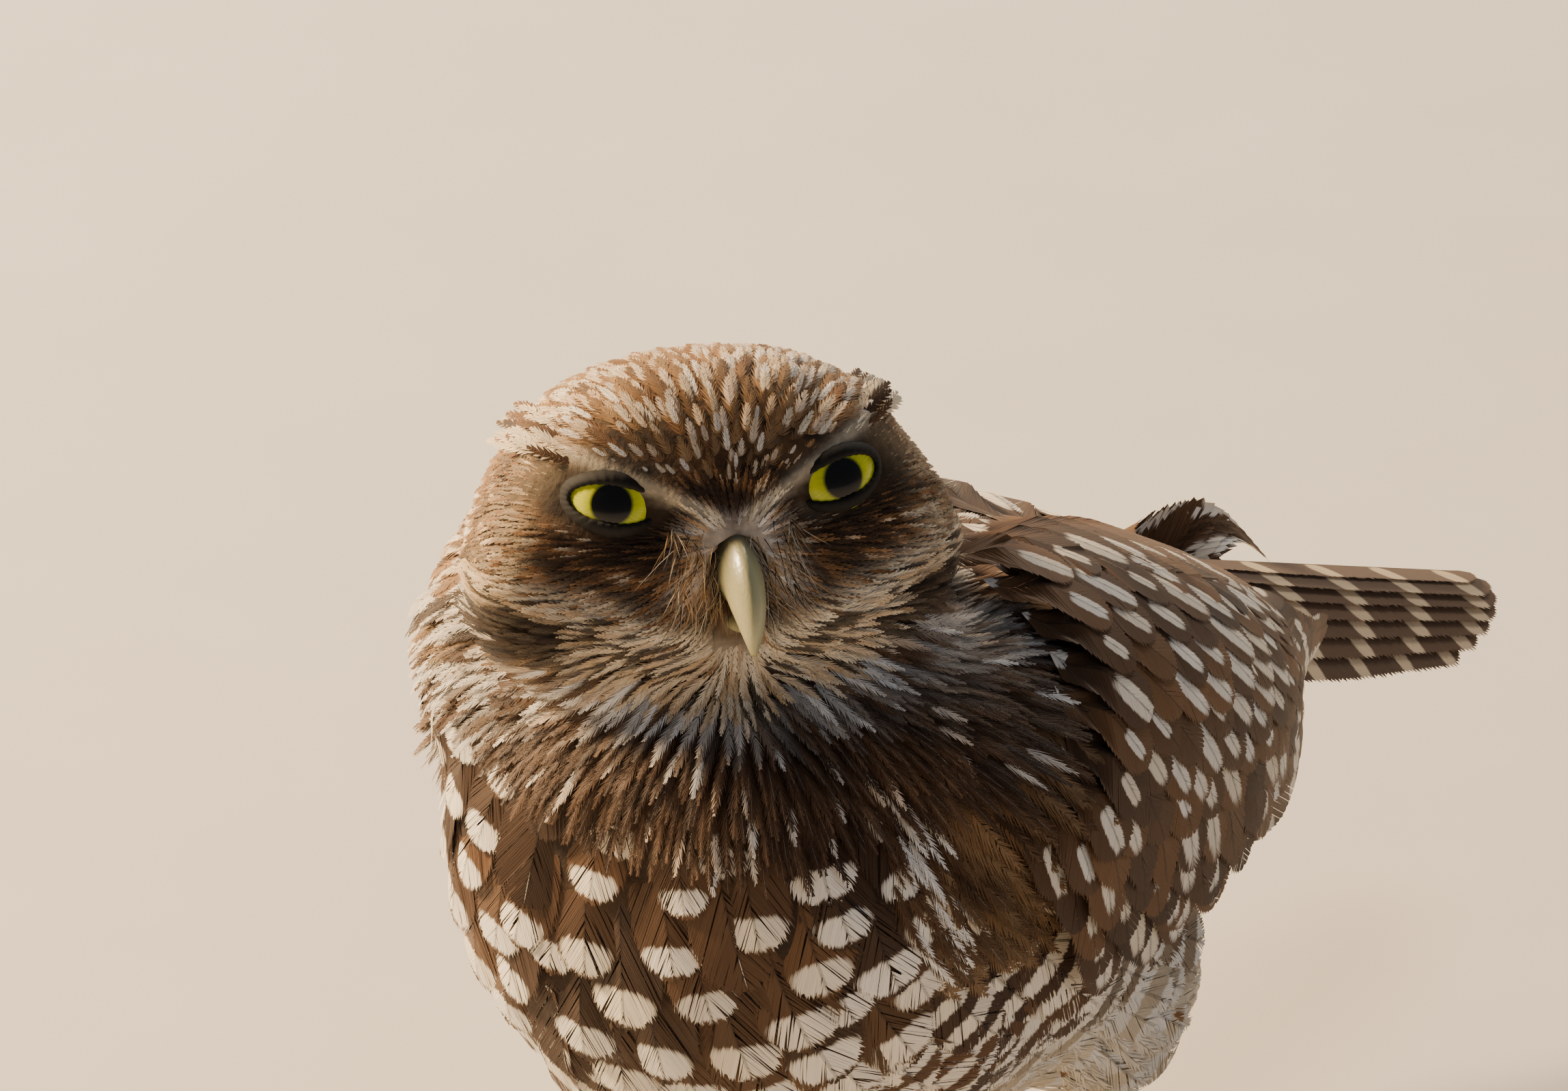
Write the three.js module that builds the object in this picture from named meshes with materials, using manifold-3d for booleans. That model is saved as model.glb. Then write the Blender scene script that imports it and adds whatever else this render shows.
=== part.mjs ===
// A burrowing owl, life size, crouched low on both feet with its head turned to its left.
// Millimetres, +Z up, breast towards -Y and the owl's left towards +X. The shapes are laid out from
// the floor under the middle of the head, and the finished owl is moved so that the origin is on the
// floor under the middle of its bounding box.
import * as THREE from "three";
import { mergeVertices } from "three/addons/utils/BufferGeometryUtils.js";
import Module from "manifold-3d";

const wasm = await Module();
wasm.setup();

// Driving sizes, in millimetres and degrees.

// The air between one part and the next.
const GAP = 0.35;

// The torso is widest at one station and closes to a blunt breast and a drawn-out rump.
const BODY = { front: -33, widest: 30, rear: 114, wide: 44, up: 38, down: 52, blunt: 3.2 };
// Its middle line falls to the rear.
const BODY_LINE = { at: 80, fall: 0.155 };

// The neck's cape of feathers: [height, middle x, half width, front y, back y]. Its rings rise to the
// rear and to the owl's right, away from the chin.
const CAPE = [
  [76, 0, 36, -30, 27],
  [86, 0, 40, -32.5, 28],
  [95, -2.5, 42.5, -32, 28],
  [104, -4.5, 42, -28.5, 27],
  [112, -4.5, 38.5, -23, 25],
  [119, -3.5, 30, -14, 21],
];
const CAPE_RISE = { fore: 0.15, side: -0.1 };
// Cuts that part the head from the neck and the neck from the torso: height = at + fore * y + side * x.
const HEAD_CUT = { at: 114, fore: 0.25, side: -0.1 };
const NECK_CUT = { at: 102, fore: 0.44, side: 0 };

// The head's middle and its turn, then its half sizes with the crown narrower than the cheeks.
const HEAD = { x: -2.8, y: -1.8, z: 128, yaw: 45, pitch: 20, roll: -1 };
const SKULL = { wide: 34, crown: 28.5, up: 22, down: 27, back: 28, front: 21, power: 2.3 };
const BROW = { inner: 1.2, slope: 0.46, high: 3.4, thick: 2.6 };
const EYE = { forward: 10.5, out: 13.6, up: 4.4, turn: 13, radius: 8, lid: 1.1, detail: 14 };
const LIDS = { inner: 6.2, outer: 5.8, high: 2.9, low: 2.9, slant: 1.1 };
// The bill's middle line in the head's frame: [forward, up, half width, half height].
const UPPER_BILL = [
  [13, -5.6, 3.5, 5.2],
  [18.5, -5.6, 3.3, 5],
  [23.2, -6.8, 2.9, 4.1],
  [26, -9.8, 2.4, 3.1],
  [26.9, -13, 1.6, 2],
  [26.6, -16.2, 0.5, 0.6],
];
const LOWER_BILL = [
  [13, -12, 2.8, 1.5],
  [18, -12.4, 2.5, 1.4],
  [21.4, -13, 1.9, 1.2],
  [22.6, -13.8, 0.9, 0.6],
];
const NOSTRIL = { forward: 21.2, out: 3.5, up: -4.8, radius: 1.3 };
const GAPE = { forward: 20, out: 7.4, up: -11.4, wide: 10, high: 0.9, slant: 0.18 };

// The sheet that the folded wing's feathers lie on: [y, half width, height above and depth below its
// middle].
const SHEET = [
  [-31, 20, 14, 14],
  [-27, 31, 26, 30],
  [-20, 40.5, 33, 38],
  [-10, 45.5, 37, 45],
  [6, 48.2, 39.5, 49],
  [26, 49, 40, 50],
  [46, 48.5, 36.5, 47],
  [66, 45.5, 30, 41],
  [86, 38, 21.5, 30],
  [106, 26, 12.5, 18],
  [126, 17, 8.5, 12],
  [146, 11.5, 6, 8],
  [166, 8, 4, 6],
];
// The sheet's middle falls to the rear and droops past one station, and its sections are squarish ovals.
const SHEET_MIDDLE = { at: 82, fall: 0.15, bend: 0.0016, from: 90 };
const SQUARE = 0.8;
// The flesh of the wing: a lens about one place on the sheet, which follows its lower edge to the rear.
const CORE = { y: 31, angle: 61, long: 43, half: 42, bend: 0.004, deep: 7.5, sink: 0.5, rim: 6 };
// A vane is thick where it is rooted and thin at its tip, and its lower edge stands out by tilt.
const VANE = { thick: 2.8, tip: 0.8, tilt: 0.8 };
// Tiers of feathers from the innermost out, with the first feather at the wrist or the lower edge.
// Each place is [y, degrees from the ridge of the back]: the first and last root, then the ends of the
// arc that the tips follow. The tiers are the primaries, the secondaries, the greater and the median
// coverts and the scapulars.
const TIERS = [
  { count: 5, roots: [[46, 96], [66, 64]], tips: [[130, 92], [114, 52]], wide: [12, 15], high: -1.2 },
  { count: 7, roots: [[8, 90], [62, 28]], tips: [[20, 104], [97, 27]], wide: [17, 22], high: 0.2 },
  { count: 6, roots: [[3, 90], [42, 34]], tips: [[11, 100], [64, 38]], wide: [17, 20], high: 1.2 },
  { count: 5, roots: [[-7, 80], [24, 32]], tips: [[2, 92], [44, 34]], wide: [16, 19], high: 2.1 },
  { count: 5, roots: [[30, 40], [50, 16]], tips: [[60, 46], [85, 16]], wide: [16, 17], high: 2.2 },
];
// The right wing is carried higher about one station, where its primaries reach further back.
const RAISED = { high: 12, y: 138, long: 12, reach: 20 };

// The tail is a low roof from its start to its tip, and each feather lies a little under the one before.
const TAIL = { start: 103, base: 114, tip: 194, height: 76.5, slope: 0.455, roof: 0.04, sink: 0.8 };
const RECTRIX = { rootStep: 2.2, tipStep: 1.35, taper: 0.85, half: [2.8, 4.8, 4.8, 1.9] };

// Legs: hip, ankle and foot joints as x, y, z for the left side.
const HIP = { x: 22, y: 52, z: 52 };
const ANKLE = { x: 22, y: 64, z: 27 };
const FOOT = { x: 22, y: 36, z: 6.4 };
// Toes by name, with the bearing in degrees from straight ahead towards the outside, and the length.
const TOES = [
  { name: "inner", bearing: -16, length: 17 },
  { name: "middle", bearing: 10, length: 22 },
  { name: "outer", bearing: 58, length: 18 },
  { name: "hind", bearing: 172, length: 11 },
];
const TOE = { radius: 2.3, tip: 1.7, flat: 0.3, claw: 8.5 };

const SKINS = {
  plumage: { color: 0x6b4f35, roughness: 0.85 },
  pale: { color: 0xd8cbb4, roughness: 0.85 },
  wing: { color: 0x5d4430, roughness: 0.8 },
  bill: { color: 0xb9b487, roughness: 0.45 },
  eye: { color: 0xc8cc2a, roughness: 0.1 },
  shank: { color: 0xc9bda0, roughness: 0.8 },
  foot: { color: 0x8d8068, roughness: 0.7 },
  claw: { color: 0x2b2622, roughness: 0.4 },
};

const rad = (degrees) => (degrees * Math.PI) / 180;
const mix = (a, b, t) => a + (b - a) * t;
const mixAll = (a, b, t) => a.map((v, i) => mix(v, b[i], t));
const clamp = (v, low, high) => Math.min(high, Math.max(low, v));
const smooth = (v, low, high) => {
  const t = clamp((v - low) / (high - low), 0, 1);
  return t * t * (3 - 2 * t);
};
const bump = (v, width) => Math.exp(-((v / width) ** 2));
const vec = (x, y, z) => new THREE.Vector3(x, y, z);
const range = (count) => [...Array(count).keys()];
const turn = (i, sides) => (i / sides) * 2 * Math.PI;

// A repeatable draw from -1 to 1.
let seed = 7;
const draw = () => {
  seed = (seed * 16807) % 2147483647;
  return (2 * seed) / 2147483647 - 1;
};

// A smooth curve through rows of numbers, read by the first number of each row.
function curveThrough(rows) {
  const width = rows[0].length - 1;
  const curve = new THREE.CubicInterpolant(
    rows.map((row) => row[0]),
    rows.flatMap((row) => row.slice(1)),
    width,
  );
  return (at) => [...curve.evaluate(at)];
}

// Solids from closed geometries, turned inside out where their faces point in.

function solidOf(geometry) {
  const bare = geometry.index ? geometry.toNonIndexed() : geometry.clone();
  bare.deleteAttribute("normal");
  bare.deleteAttribute("uv");
  const merged = mergeVertices(bare, 1e-4);
  const vertProperties = merged.attributes.position.array;
  const triVerts = new Uint32Array(merged.index.array);
  const build = () => new wasm.Manifold(new wasm.Mesh({ numProp: 3, vertProperties, triVerts }));
  const solid = build();
  if (solid.volume() > 0) return solid;
  triVerts.reverse();
  return build();
}

function geometryOf(solid) {
  const mesh = solid.getMesh();
  const points = new Float32Array(mesh.numVert * 3);
  for (let i = 0; i < mesh.numVert; i++) {
    points.set(mesh.vertProperties.subarray(i * mesh.numProp, i * mesh.numProp + 3), i * 3);
  }
  return new THREE.BufferGeometry()
    .setAttribute("position", new THREE.BufferAttribute(points, 3))
    .setIndex(new THREE.BufferAttribute(new Uint32Array(mesh.triVerts), 1));
}

// The largest closed surface of a solid, which drops loose scraps and fills sealed hollows.
const largest = (solid) => solid.decompose().reduce((a, b) => (a.volume() > b.volume() ? a : b));

const joined = (solids) => solids.reduce((a, b) => a.add(b));

const without = (solid, others) => others.reduce((a, b) => a.subtract(b), solid);

// The room that a solid needs: the same facets, each corner moved out by the gap.
function roomFor(solid) {
  const geometry = geometryOf(solid);
  geometry.computeVertexNormals();
  const { position, normal } = geometry.attributes;
  const corner = vec(0, 0, 0);
  for (let i = 0; i < position.count; i++) {
    corner.fromBufferAttribute(position, i);
    corner.addScaledVector(vec(normal.getX(i), normal.getY(i), normal.getZ(i)), GAP * 1.1);
    position.setXYZ(i, corner.x, corner.y, corner.z);
  }
  return solidOf(geometry);
}

function fromPoints(points, faces) {
  return solidOf(new THREE.BufferGeometry().setFromPoints(points).setIndex(faces));
}

// A closed skin over rings of points, with a single point at each end.
function loft(rings, start, end) {
  const sides = rings[0].length;
  const points = [start, ...rings.flat(), end];
  const last = points.length - 1;
  const at = (ring, side) => 1 + ring * sides + (side % sides);
  const faces = [];
  for (const j of range(sides)) {
    faces.push(0, at(0, j + 1), at(0, j), last, at(rings.length - 1, j), at(rings.length - 1, j + 1));
    for (const i of range(rings.length - 1)) {
      faces.push(at(i, j), at(i, j + 1), at(i + 1, j), at(i + 1, j), at(i, j + 1), at(i + 1, j + 1));
    }
  }
  return fromPoints(points, faces);
}

// A thin plate from rows of [upper, lower] point pairs, split alike on both faces.
function plate(rows) {
  const columns = rows[0].length;
  const at = (row, column, face) => (row * columns + column) * 2 + face;
  const faces = [];
  const quad = (a, b, c, d) => faces.push(a, b, c, a, c, d);
  const [endRow, endColumn] = [rows.length - 1, columns - 1];
  for (const i of range(endRow)) {
    for (const j of range(endColumn)) {
      quad(at(i, j, 0), at(i, j + 1, 0), at(i + 1, j + 1, 0), at(i + 1, j, 0));
      faces.push(at(i, j, 1), at(i + 1, j + 1, 1), at(i, j + 1, 1));
      faces.push(at(i, j, 1), at(i + 1, j, 1), at(i + 1, j + 1, 1));
    }
    quad(at(i, 0, 0), at(i + 1, 0, 0), at(i + 1, 0, 1), at(i, 0, 1));
    quad(at(i, endColumn, 0), at(i, endColumn, 1), at(i + 1, endColumn, 1), at(i + 1, endColumn, 0));
  }
  for (const j of range(endColumn)) {
    quad(at(0, j, 0), at(0, j, 1), at(0, j + 1, 1), at(0, j + 1, 0));
    quad(at(endRow, j, 0), at(endRow, j + 1, 0), at(endRow, j + 1, 1), at(endRow, j, 1));
  }
  return fromPoints(rows.flat(2), faces);
}

// A limb: oval rings square to a smooth path. Each stop is [x, y, z, half across, half the other way].
function limb(stops, { sides = 10, steps = 12, blunt = false, across = vec(1, 0, 0) } = {}) {
  const path = new THREE.CatmullRomCurve3(stops.map(([x, y, z]) => vec(x, y, z)));
  const size = (t, k) => {
    const place = t * (stops.length - 1);
    const i = Math.min(stops.length - 2, Math.floor(place));
    return mix(stops[i][k], stops[i + 1][k], place - i);
  };
  const ringAt = (t) => {
    const along = path.getTangent(t);
    const high = along.clone().cross(across).normalize();
    const wide = high.clone().cross(along).normalize();
    return range(sides).map((j) =>
      path
        .getPoint(t)
        .addScaledVector(wide, Math.cos(turn(j, sides)) * size(t, 3))
        .addScaledVector(high, Math.sin(turn(j, sides)) * size(t, 4)),
    );
  };
  const cap = (t, sign) => {
    const bulge = blunt ? 0 : sign * 0.6 * size(t, 4);
    return path.getPoint(t).addScaledVector(path.getTangent(t), bulge);
  };
  const rings = range(steps + 1).map((i) => ringAt(i / steps));
  return loft(rings, cap(0, -1), cap(1, 1));
}

function ball(middle, radius, detail) {
  const sphere = new THREE.SphereGeometry(radius, detail, Math.round(detail * 0.7));
  return solidOf(sphere.translate(middle.x, middle.y, middle.z));
}

// Torso: upright oval sections from the breast to the root of the tail.

function bodySection(y) {
  const ahead = y < BODY.widest;
  const s = Math.abs(y - BODY.widest) / (ahead ? BODY.widest - BODY.front : BODY.rear - BODY.widest);
  const full = (power) => (ahead ? (1 - s ** BODY.blunt) ** 0.36 : (1 - s * s) ** power);
  return { wide: BODY.wide * full(0.8), up: BODY.up * full(1), down: BODY.down * full(0.9) };
}

const bodyMiddle = (y) => BODY_LINE.at - BODY_LINE.fall * y;

function torsoSolid() {
  const [rows, sides] = [16, 26];
  const rings = range(rows - 1).map((i) => {
    const y = mix(BODY.front, BODY.rear, (1 - Math.cos((Math.PI * (i + 1)) / rows)) / 2);
    const { wide, up, down } = bodySection(y);
    return range(sides).map((j) => {
      const [across, rise] = [Math.sin(turn(j, sides)), Math.cos(turn(j, sides))];
      return vec(wide * across, y, bodyMiddle(y) + (rise > 0 ? up : down) * rise);
    });
  });
  const end = (y) => vec(0, y, bodyMiddle(y));
  return loft(rings, end(BODY.front), end(BODY.rear));
}

// Neck: a cape of feathers from the cheeks down to the shoulders.

function capeSolid() {
  const [rows, sides] = [7, 26];
  const [low, high] = [CAPE[0][0], CAPE.at(-1)[0]];
  const shape = curveThrough(CAPE);
  const spot = (z, x, y) => vec(x, y, z + CAPE_RISE.fore * y + CAPE_RISE.side * x);
  const rings = range(rows + 1).map((i) => {
    const z = mix(low, high, i / rows);
    const [middle, wide, front, back] = shape(z);
    const [centre, reach] = [(front + back) / 2, (back - front) / 2];
    return range(sides).map((j) => {
      const angle = turn(j, sides);
      return spot(z, middle + wide * Math.sin(angle), centre - reach * Math.cos(angle));
    });
  });
  const end = (z) => spot(z, shape(z)[0], (shape(z)[2] + shape(z)[3]) / 2);
  return loft(rings, end(low), end(high));
}

// A slab as thick as the gap, which parts the body along a tilted plane.
function partingSlab({ at, fore, side }) {
  const slab = new THREE.BoxGeometry(300, 300, GAP);
  const normal = vec(-side, -fore, 1).normalize();
  slab.applyQuaternion(new THREE.Quaternion().setFromUnitVectors(vec(0, 0, 1), normal));
  return solidOf(slab.translate(0, 0, at));
}

// Head: in its own frame f points along the bill, l to the owl's left and u to the crown.

const forward = vec(
  Math.sin(rad(HEAD.yaw)) * Math.cos(rad(HEAD.pitch)),
  -Math.cos(rad(HEAD.yaw)) * Math.cos(rad(HEAD.pitch)),
  Math.sin(rad(HEAD.pitch)),
);
const level = vec(Math.cos(rad(HEAD.yaw)), Math.sin(rad(HEAD.yaw)), 0);
const leftward = level.applyAxisAngle(forward, rad(-HEAD.roll));
const crownward = forward.clone().cross(leftward);
const headPoint = (f, l, u) =>
  vec(HEAD.x, HEAD.y, HEAD.z)
    .addScaledVector(forward, f)
    .addScaledVector(leftward, l)
    .addScaledVector(crownward, u);

// How far the head reaches along a direction: a blunt egg, with brows, eye hollows and lores in front.
function headReach(f, l, u) {
  const wide = mix(SKULL.wide, SKULL.crown, smooth(u, -0.25, 0.45));
  const depth = f > 0 ? SKULL.front : SKULL.back;
  const height = u > 0 ? SKULL.up : SKULL.down;
  const share = (v, full) => Math.abs(v / full) ** SKULL.power;
  const base = (share(f, depth) + share(l, wide) + share(u, height)) ** (-1 / SKULL.power);
  if (f < 0) return base;
  const [side, rise] = [Math.abs(l) * base, u * base];
  const face = smooth(f * base, 2, 12);
  const browLine = BROW.inner + BROW.slope * side;
  const browSpan = smooth(side, 1, 6) * (1 - smooth(side, 26, 33));
  const brow = BROW.high * bump(rise - browLine, BROW.thick) * browSpan;
  const hollow = -3.2 * bump(side - EYE.out, 8.5) * bump(rise - EYE.up + 1.4, 5.5);
  const lores = 2.6 * bump(side, 6) * bump(rise + 3.4, 7);
  const whiskers = 1.6 * bump(rise + 11 + 0.1 * side, 2.6) * smooth(side, 3, 8) * (1 - smooth(side, 18, 26));
  const rim = 1.7 * bump(Math.hypot(side / 29, (rise + 4) / 21) - 1, 0.13) * (1 - smooth(rise, -4, 8));
  return base + face * (brow + hollow + lores + whiskers) + smooth(f * base, 0, 6) * rim;
}

// Rings about the forward axis, close together over the face and wider apart behind.
function headSolid() {
  const sides = 34;
  const face = range(14).map((i) => (i + 1) * 6.6);
  const degrees = [...face, 104, 116, 130, 146, 163];
  const point = (polar, around) => {
    const f = Math.cos(polar);
    const l = Math.sin(polar) * Math.cos(around);
    const u = Math.sin(polar) * Math.sin(around);
    const reach = headReach(f, l, u);
    return headPoint(f * reach, l * reach, u * reach);
  };
  const rings = degrees.map((polar) => range(sides).map((j) => point(rad(polar), turn(j, sides))));
  return loft(rings, point(0, 0), point(Math.PI, 0));
}

// Eyes: balls turned a little outwards, under lids with a slanting almond opening. side is 1 on the
// left and -1 on the right.

function eyeFrame(side) {
  const axis = forward.clone().applyAxisAngle(crownward, rad(side * EYE.turn));
  const inward = crownward.clone().cross(axis).multiplyScalar(-side).normalize();
  return { middle: headPoint(EYE.forward, side * EYE.out, EYE.up), axis, inward };
}

const eyeBall = (side, radius) => ball(eyeFrame(side).middle, radius, EYE.detail);

function lidOpening(side) {
  const { inner, outer, high, low, slant } = LIDS;
  const almond = new THREE.Shape();
  almond.moveTo(inner, -slant);
  almond.quadraticCurveTo(inner * 0.55, high * 0.95, 0, high);
  almond.quadraticCurveTo(-outer * 0.8, high * 1.05, -outer, slant);
  almond.quadraticCurveTo(-outer * 0.95, -low, 0, -low);
  almond.quadraticCurveTo(inner * 0.7, -low * 0.95, inner, -slant);
  const prism = new THREE.ExtrudeGeometry(almond, { depth: 14, bevelEnabled: false, curveSegments: 4 });
  const { middle, axis, inward } = eyeFrame(side);
  const up = axis.clone().cross(inward).multiplyScalar(side).negate();
  return solidOf(prism.applyMatrix4(new THREE.Matrix4().makeBasis(inward, up, axis).setPosition(middle)));
}

// Bill: a short, narrow hook with open nostrils, the lower half behind it, and the gape beside it.

function billHalf(line, sides) {
  const stops = line.map(([f, u, wide, high]) => [...headPoint(f, 0, u).toArray(), wide, high]);
  return limb(stops, { sides, steps: 2 * line.length - 1, across: leftward });
}

const nostril = (side) => ball(headPoint(NOSTRIL.forward, side * NOSTRIL.out, NOSTRIL.up), NOSTRIL.radius, 8);

function gape(side) {
  const cleft = new THREE.BoxGeometry(GAPE.wide, GAPE.high, 9).rotateZ(-side * GAPE.slant);
  const place = new THREE.Matrix4().makeBasis(leftward, crownward, forward.clone().negate());
  return solidOf(cleft.applyMatrix4(place.setPosition(headPoint(GAPE.forward, side * GAPE.out, GAPE.up))));
}

// Wings: feathers in tiers on a sheet that wraps the body, over a core at the wrist and shoulder.

const sheetShape = curveThrough(SHEET);

// A wing's own place on the sheet: squarish oval sections, mirrored and raised on the right.
function wingPlacer(side) {
  const high = side > 0 ? 0 : RAISED.high;
  const squared = (v) => Math.sign(v) * Math.abs(v) ** SQUARE;
  return (y, angle, out) => {
    const [wide, up, down] = sheetShape(y);
    const [across, rise] = [squared(Math.sin(angle)), squared(Math.cos(angle))];
    const droop = SHEET_MIDDLE.bend * Math.max(0, y - SHEET_MIDDLE.from) ** 2;
    const raised = high * bump(y - RAISED.y, RAISED.long) - droop;
    const middle = SHEET_MIDDLE.at - SHEET_MIDDLE.fall * y + raised;
    return vec(side * (wide + out) * across, y, middle + ((rise > 0 ? up : down) + out) * rise);
  };
}

// A feather from root to tip, each [y, degrees], with its middle line raised to high and its lower edge
// standing out.
function wingFeather(place, root, tip, wide, high) {
  const plan = [
    [0, 0.6, -CORE.deep * 0.45],
    [0.35, 0.95, high - 0.5],
    [0.78, 0.95, high],
    [1, 0.4, high],
  ];
  const spot = (t) => {
    const [y, degrees] = mixAll(root, tip, t);
    return { y, angle: rad(degrees) };
  };
  const point = ({ y, angle }, out) => place(y, angle, out);
  const [start, end] = [point(spot(0), 0), point(spot(1), 0)];
  const along = end.clone().sub(start).normalize();
  const rows = plan.map(([t, breadth, lift]) => {
    const here = spot(t);
    const step = 0.02;
    const down = point({ y: here.y, angle: here.angle + step }, 0).sub(point(here, 0));
    const rearward = point({ y: here.y + 1, angle: here.angle }, 0).sub(point(here, 0));
    const outward = rearward.clone().cross(down).normalize();
    const across = outward.clone().cross(along).normalize();
    const thick = mix(VANE.thick, VANE.tip, smooth(t, 0.4, 0.75));
    return [-1, 0, 1].map((edge) => {
      const shift = across.clone().multiplyScalar((edge * breadth * wide) / 2);
      const lower = Math.sign(shift.z) || 1;
      const angle = here.angle + (shift.dot(down) / down.lengthSq()) * step;
      const y = here.y + shift.dot(rearward) / rearward.lengthSq();
      const tilt = edge === 0 ? 0.25 : -lower * VANE.tilt * breadth;
      return [lift + tilt, lift + tilt - thick].map((out) => place(y, angle, out));
    });
  });
  return plate(rows);
}

// The core is a lens under the feathers, thin and sunk at its rim.
function wingCore(place) {
  const [rows, columns] = [9, 6];
  const middle = (y) => CORE.angle - CORE.bend * (y - CORE.y) ** 2;
  const strips = range(rows - 1).map((i) => {
    const s = -1 + (2 * (i + 1)) / rows;
    const y = CORE.y + CORE.long * s;
    const spread = Math.sqrt(1 - s * s);
    const spots = range(columns + 1).map((j) => {
      const c = -1 + (2 * j) / columns;
      const rim = s * s + c * c * (1 - s * s);
      const top = -CORE.sink - CORE.rim * rim ** 2;
      const under = top - CORE.deep * Math.sqrt(1 - rim);
      return { angle: rad(middle(y) + CORE.half * spread * c), top, under };
    });
    const lower = spots.slice(1, -1).reverse();
    const outside = spots.map(({ angle, top }) => place(y, angle, top));
    return [...outside, ...lower.map(({ angle, under }) => place(y, angle, under))];
  });
  const end = (y) => place(y, rad(middle(y)), -CORE.sink - CORE.rim);
  return loft(strips, end(CORE.y - CORE.long), end(CORE.y + CORE.long));
}

function wingSolid(side) {
  const place = wingPlacer(side);
  const reach = side > 0 ? 0 : RAISED.reach;
  const feathers = TIERS.flatMap((tier, rank) =>
    range(tier.count).map((i) => {
      const t = i / (tier.count - 1);
      const swing = rad(90 * t);
      const [first, last] = tier.tips;
      const further = rank === 0 ? reach * (1 - t) : 0;
      const y = mix(first[0], last[0], Math.sin(swing)) + further + draw() * 1.2;
      const tip = [y, mix(last[1], first[1], Math.cos(swing))];
      return wingFeather(place, mixAll(...tier.roots, t), tip, mix(...tier.wide, t), tier.high);
    }),
  );
  return joined([wingCore(place), ...feathers]);
}

// Tail: twelve feathers stacked like a low roof, fused to a blunt root behind the rump.

const tailHeight = (x, y) => TAIL.height - TAIL.slope * (y - TAIL.start) - TAIL.roof * x * x;

function tailFeather(rank, side) {
  const tip = TAIL.tip - RECTRIX.taper * rank * rank;
  const rows = RECTRIX.half.map((half, i) => {
    const t = [0, 0.4, 0.9, 1][i];
    const y = mix(TAIL.base, tip, t);
    const x = side * (1.3 + rank * mix(RECTRIX.rootStep, RECTRIX.tipStep, t));
    return [-1, 0, 1].map((edge) => {
      const ridge = edge === 0 ? 0.25 : 0;
      const z = tailHeight(x + edge * half, y) - TAIL.sink * (rank + (side > 0 ? 0.5 : 0)) + ridge;
      return [z, z - 0.8].map((height) => vec(x + edge * half, y, height));
    });
  });
  return plate(rows);
}

function tailRoot() {
  const stops = [
    [0, 8.5, 7],
    [0.35, 10.5, 8],
    [0.7, 10.5, 6],
    [1, 8, 3.2],
  ].map(([t, wide, high]) => {
    const y = mix(TAIL.start, TAIL.base + 18, t);
    return [0, y, tailHeight(0, y) - 4, wide, high];
  });
  return limb(stops, { sides: 14, steps: 6 });
}

// Legs: a feathered thigh, a slim shank and a foot of four toes with claws.

function thighSolid(side) {
  const stops = [
    [side * HIP.x, HIP.y, HIP.z, 15, 22],
    [side * (HIP.x + 4), HIP.y + 3, HIP.z - 13, 13.5, 18],
    [side * (ANKLE.x + 1), ANKLE.y - 4, ANKLE.z + 5, 8, 10],
    [side * ANKLE.x, ANKLE.y - 1, ANKLE.z - 2, 4.2, 4.8],
  ];
  return limb(stops, { sides: 16, steps: 9 });
}

function shankSolid(side) {
  const stops = [
    [side * ANKLE.x, ANKLE.y - 1, ANKLE.z, 3.4, 3.8],
    [side * mix(ANKLE.x, FOOT.x, 0.5), mix(ANKLE.y, FOOT.y, 0.5), mix(ANKLE.z, FOOT.z, 0.5), 2.7, 3],
    [side * FOOT.x, FOOT.y + 2, FOOT.z + 1.4, 2.9, 3.1],
  ];
  return limb(stops, { sides: 10, steps: 6 });
}

// A place on a toe's line, by its reach from the middle of the foot and its height.
function toePoint(side, toe, reach, height) {
  const bearing = rad(toe.bearing);
  const away = vec(side * Math.sin(bearing), -Math.cos(bearing), 0);
  return vec(side * FOOT.x, FOOT.y - 1, height).addScaledVector(away, reach).toArray();
}

function toeSolid(side, toe) {
  const n = toe.length;
  const stop = (share, radius, lift = 0) => {
    const height = radius - TOE.flat + lift;
    return [...toePoint(side, toe, n * share, height), radius, radius];
  };
  const root = stop(0, 2.9, 0.8);
  const joint = stop(0.36, TOE.radius);
  const pad = stop(0.6, TOE.radius * 1.1);
  const stops = [root, joint, pad, stop(0.8, TOE.tip), stop(1, TOE.tip, 0.3)];
  return limb(stops, { sides: 7, steps: 5, blunt: true, across: vec(0, 0, 1) });
}

function clawSolid(side, toe) {
  const start = toe.length + GAP;
  const long = TOE.claw * (toe.name === "hind" ? 0.85 : 1);
  const stop = (share, height, radius) => {
    return [...toePoint(side, toe, start + long * share, height), radius, radius];
  };
  const stops = [stop(0, 1.9, 1.4), stop(0.35, 2.5, 1.15), stop(0.72, 2, 0.75), stop(1, 0.6, 0.3)];
  return limb(stops, { sides: 6, steps: 4, blunt: true, across: vec(0, 0, 1) });
}

function footSolid(side) {
  const pad = [
    [side * FOOT.x, FOOT.y + 2, FOOT.z, 3.3, 3.3],
    [side * FOOT.x, FOOT.y - 4, 3, 4, 3],
  ];
  const ground = solidOf(new THREE.BoxGeometry(300, 300, 20).translate(0, 0, -10));
  const toes = TOES.map((toe) => toeSolid(side, toe));
  return joined([limb(pad, { sides: 10, steps: 3 }), ...toes]).subtract(ground);
}

// The owl, each part cut clear of its neighbours.

const sides = [
  [1, "left"],
  [-1, "right"],
];
const both = (make) => joined(sides.map(([side]) => make(side)));

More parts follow.
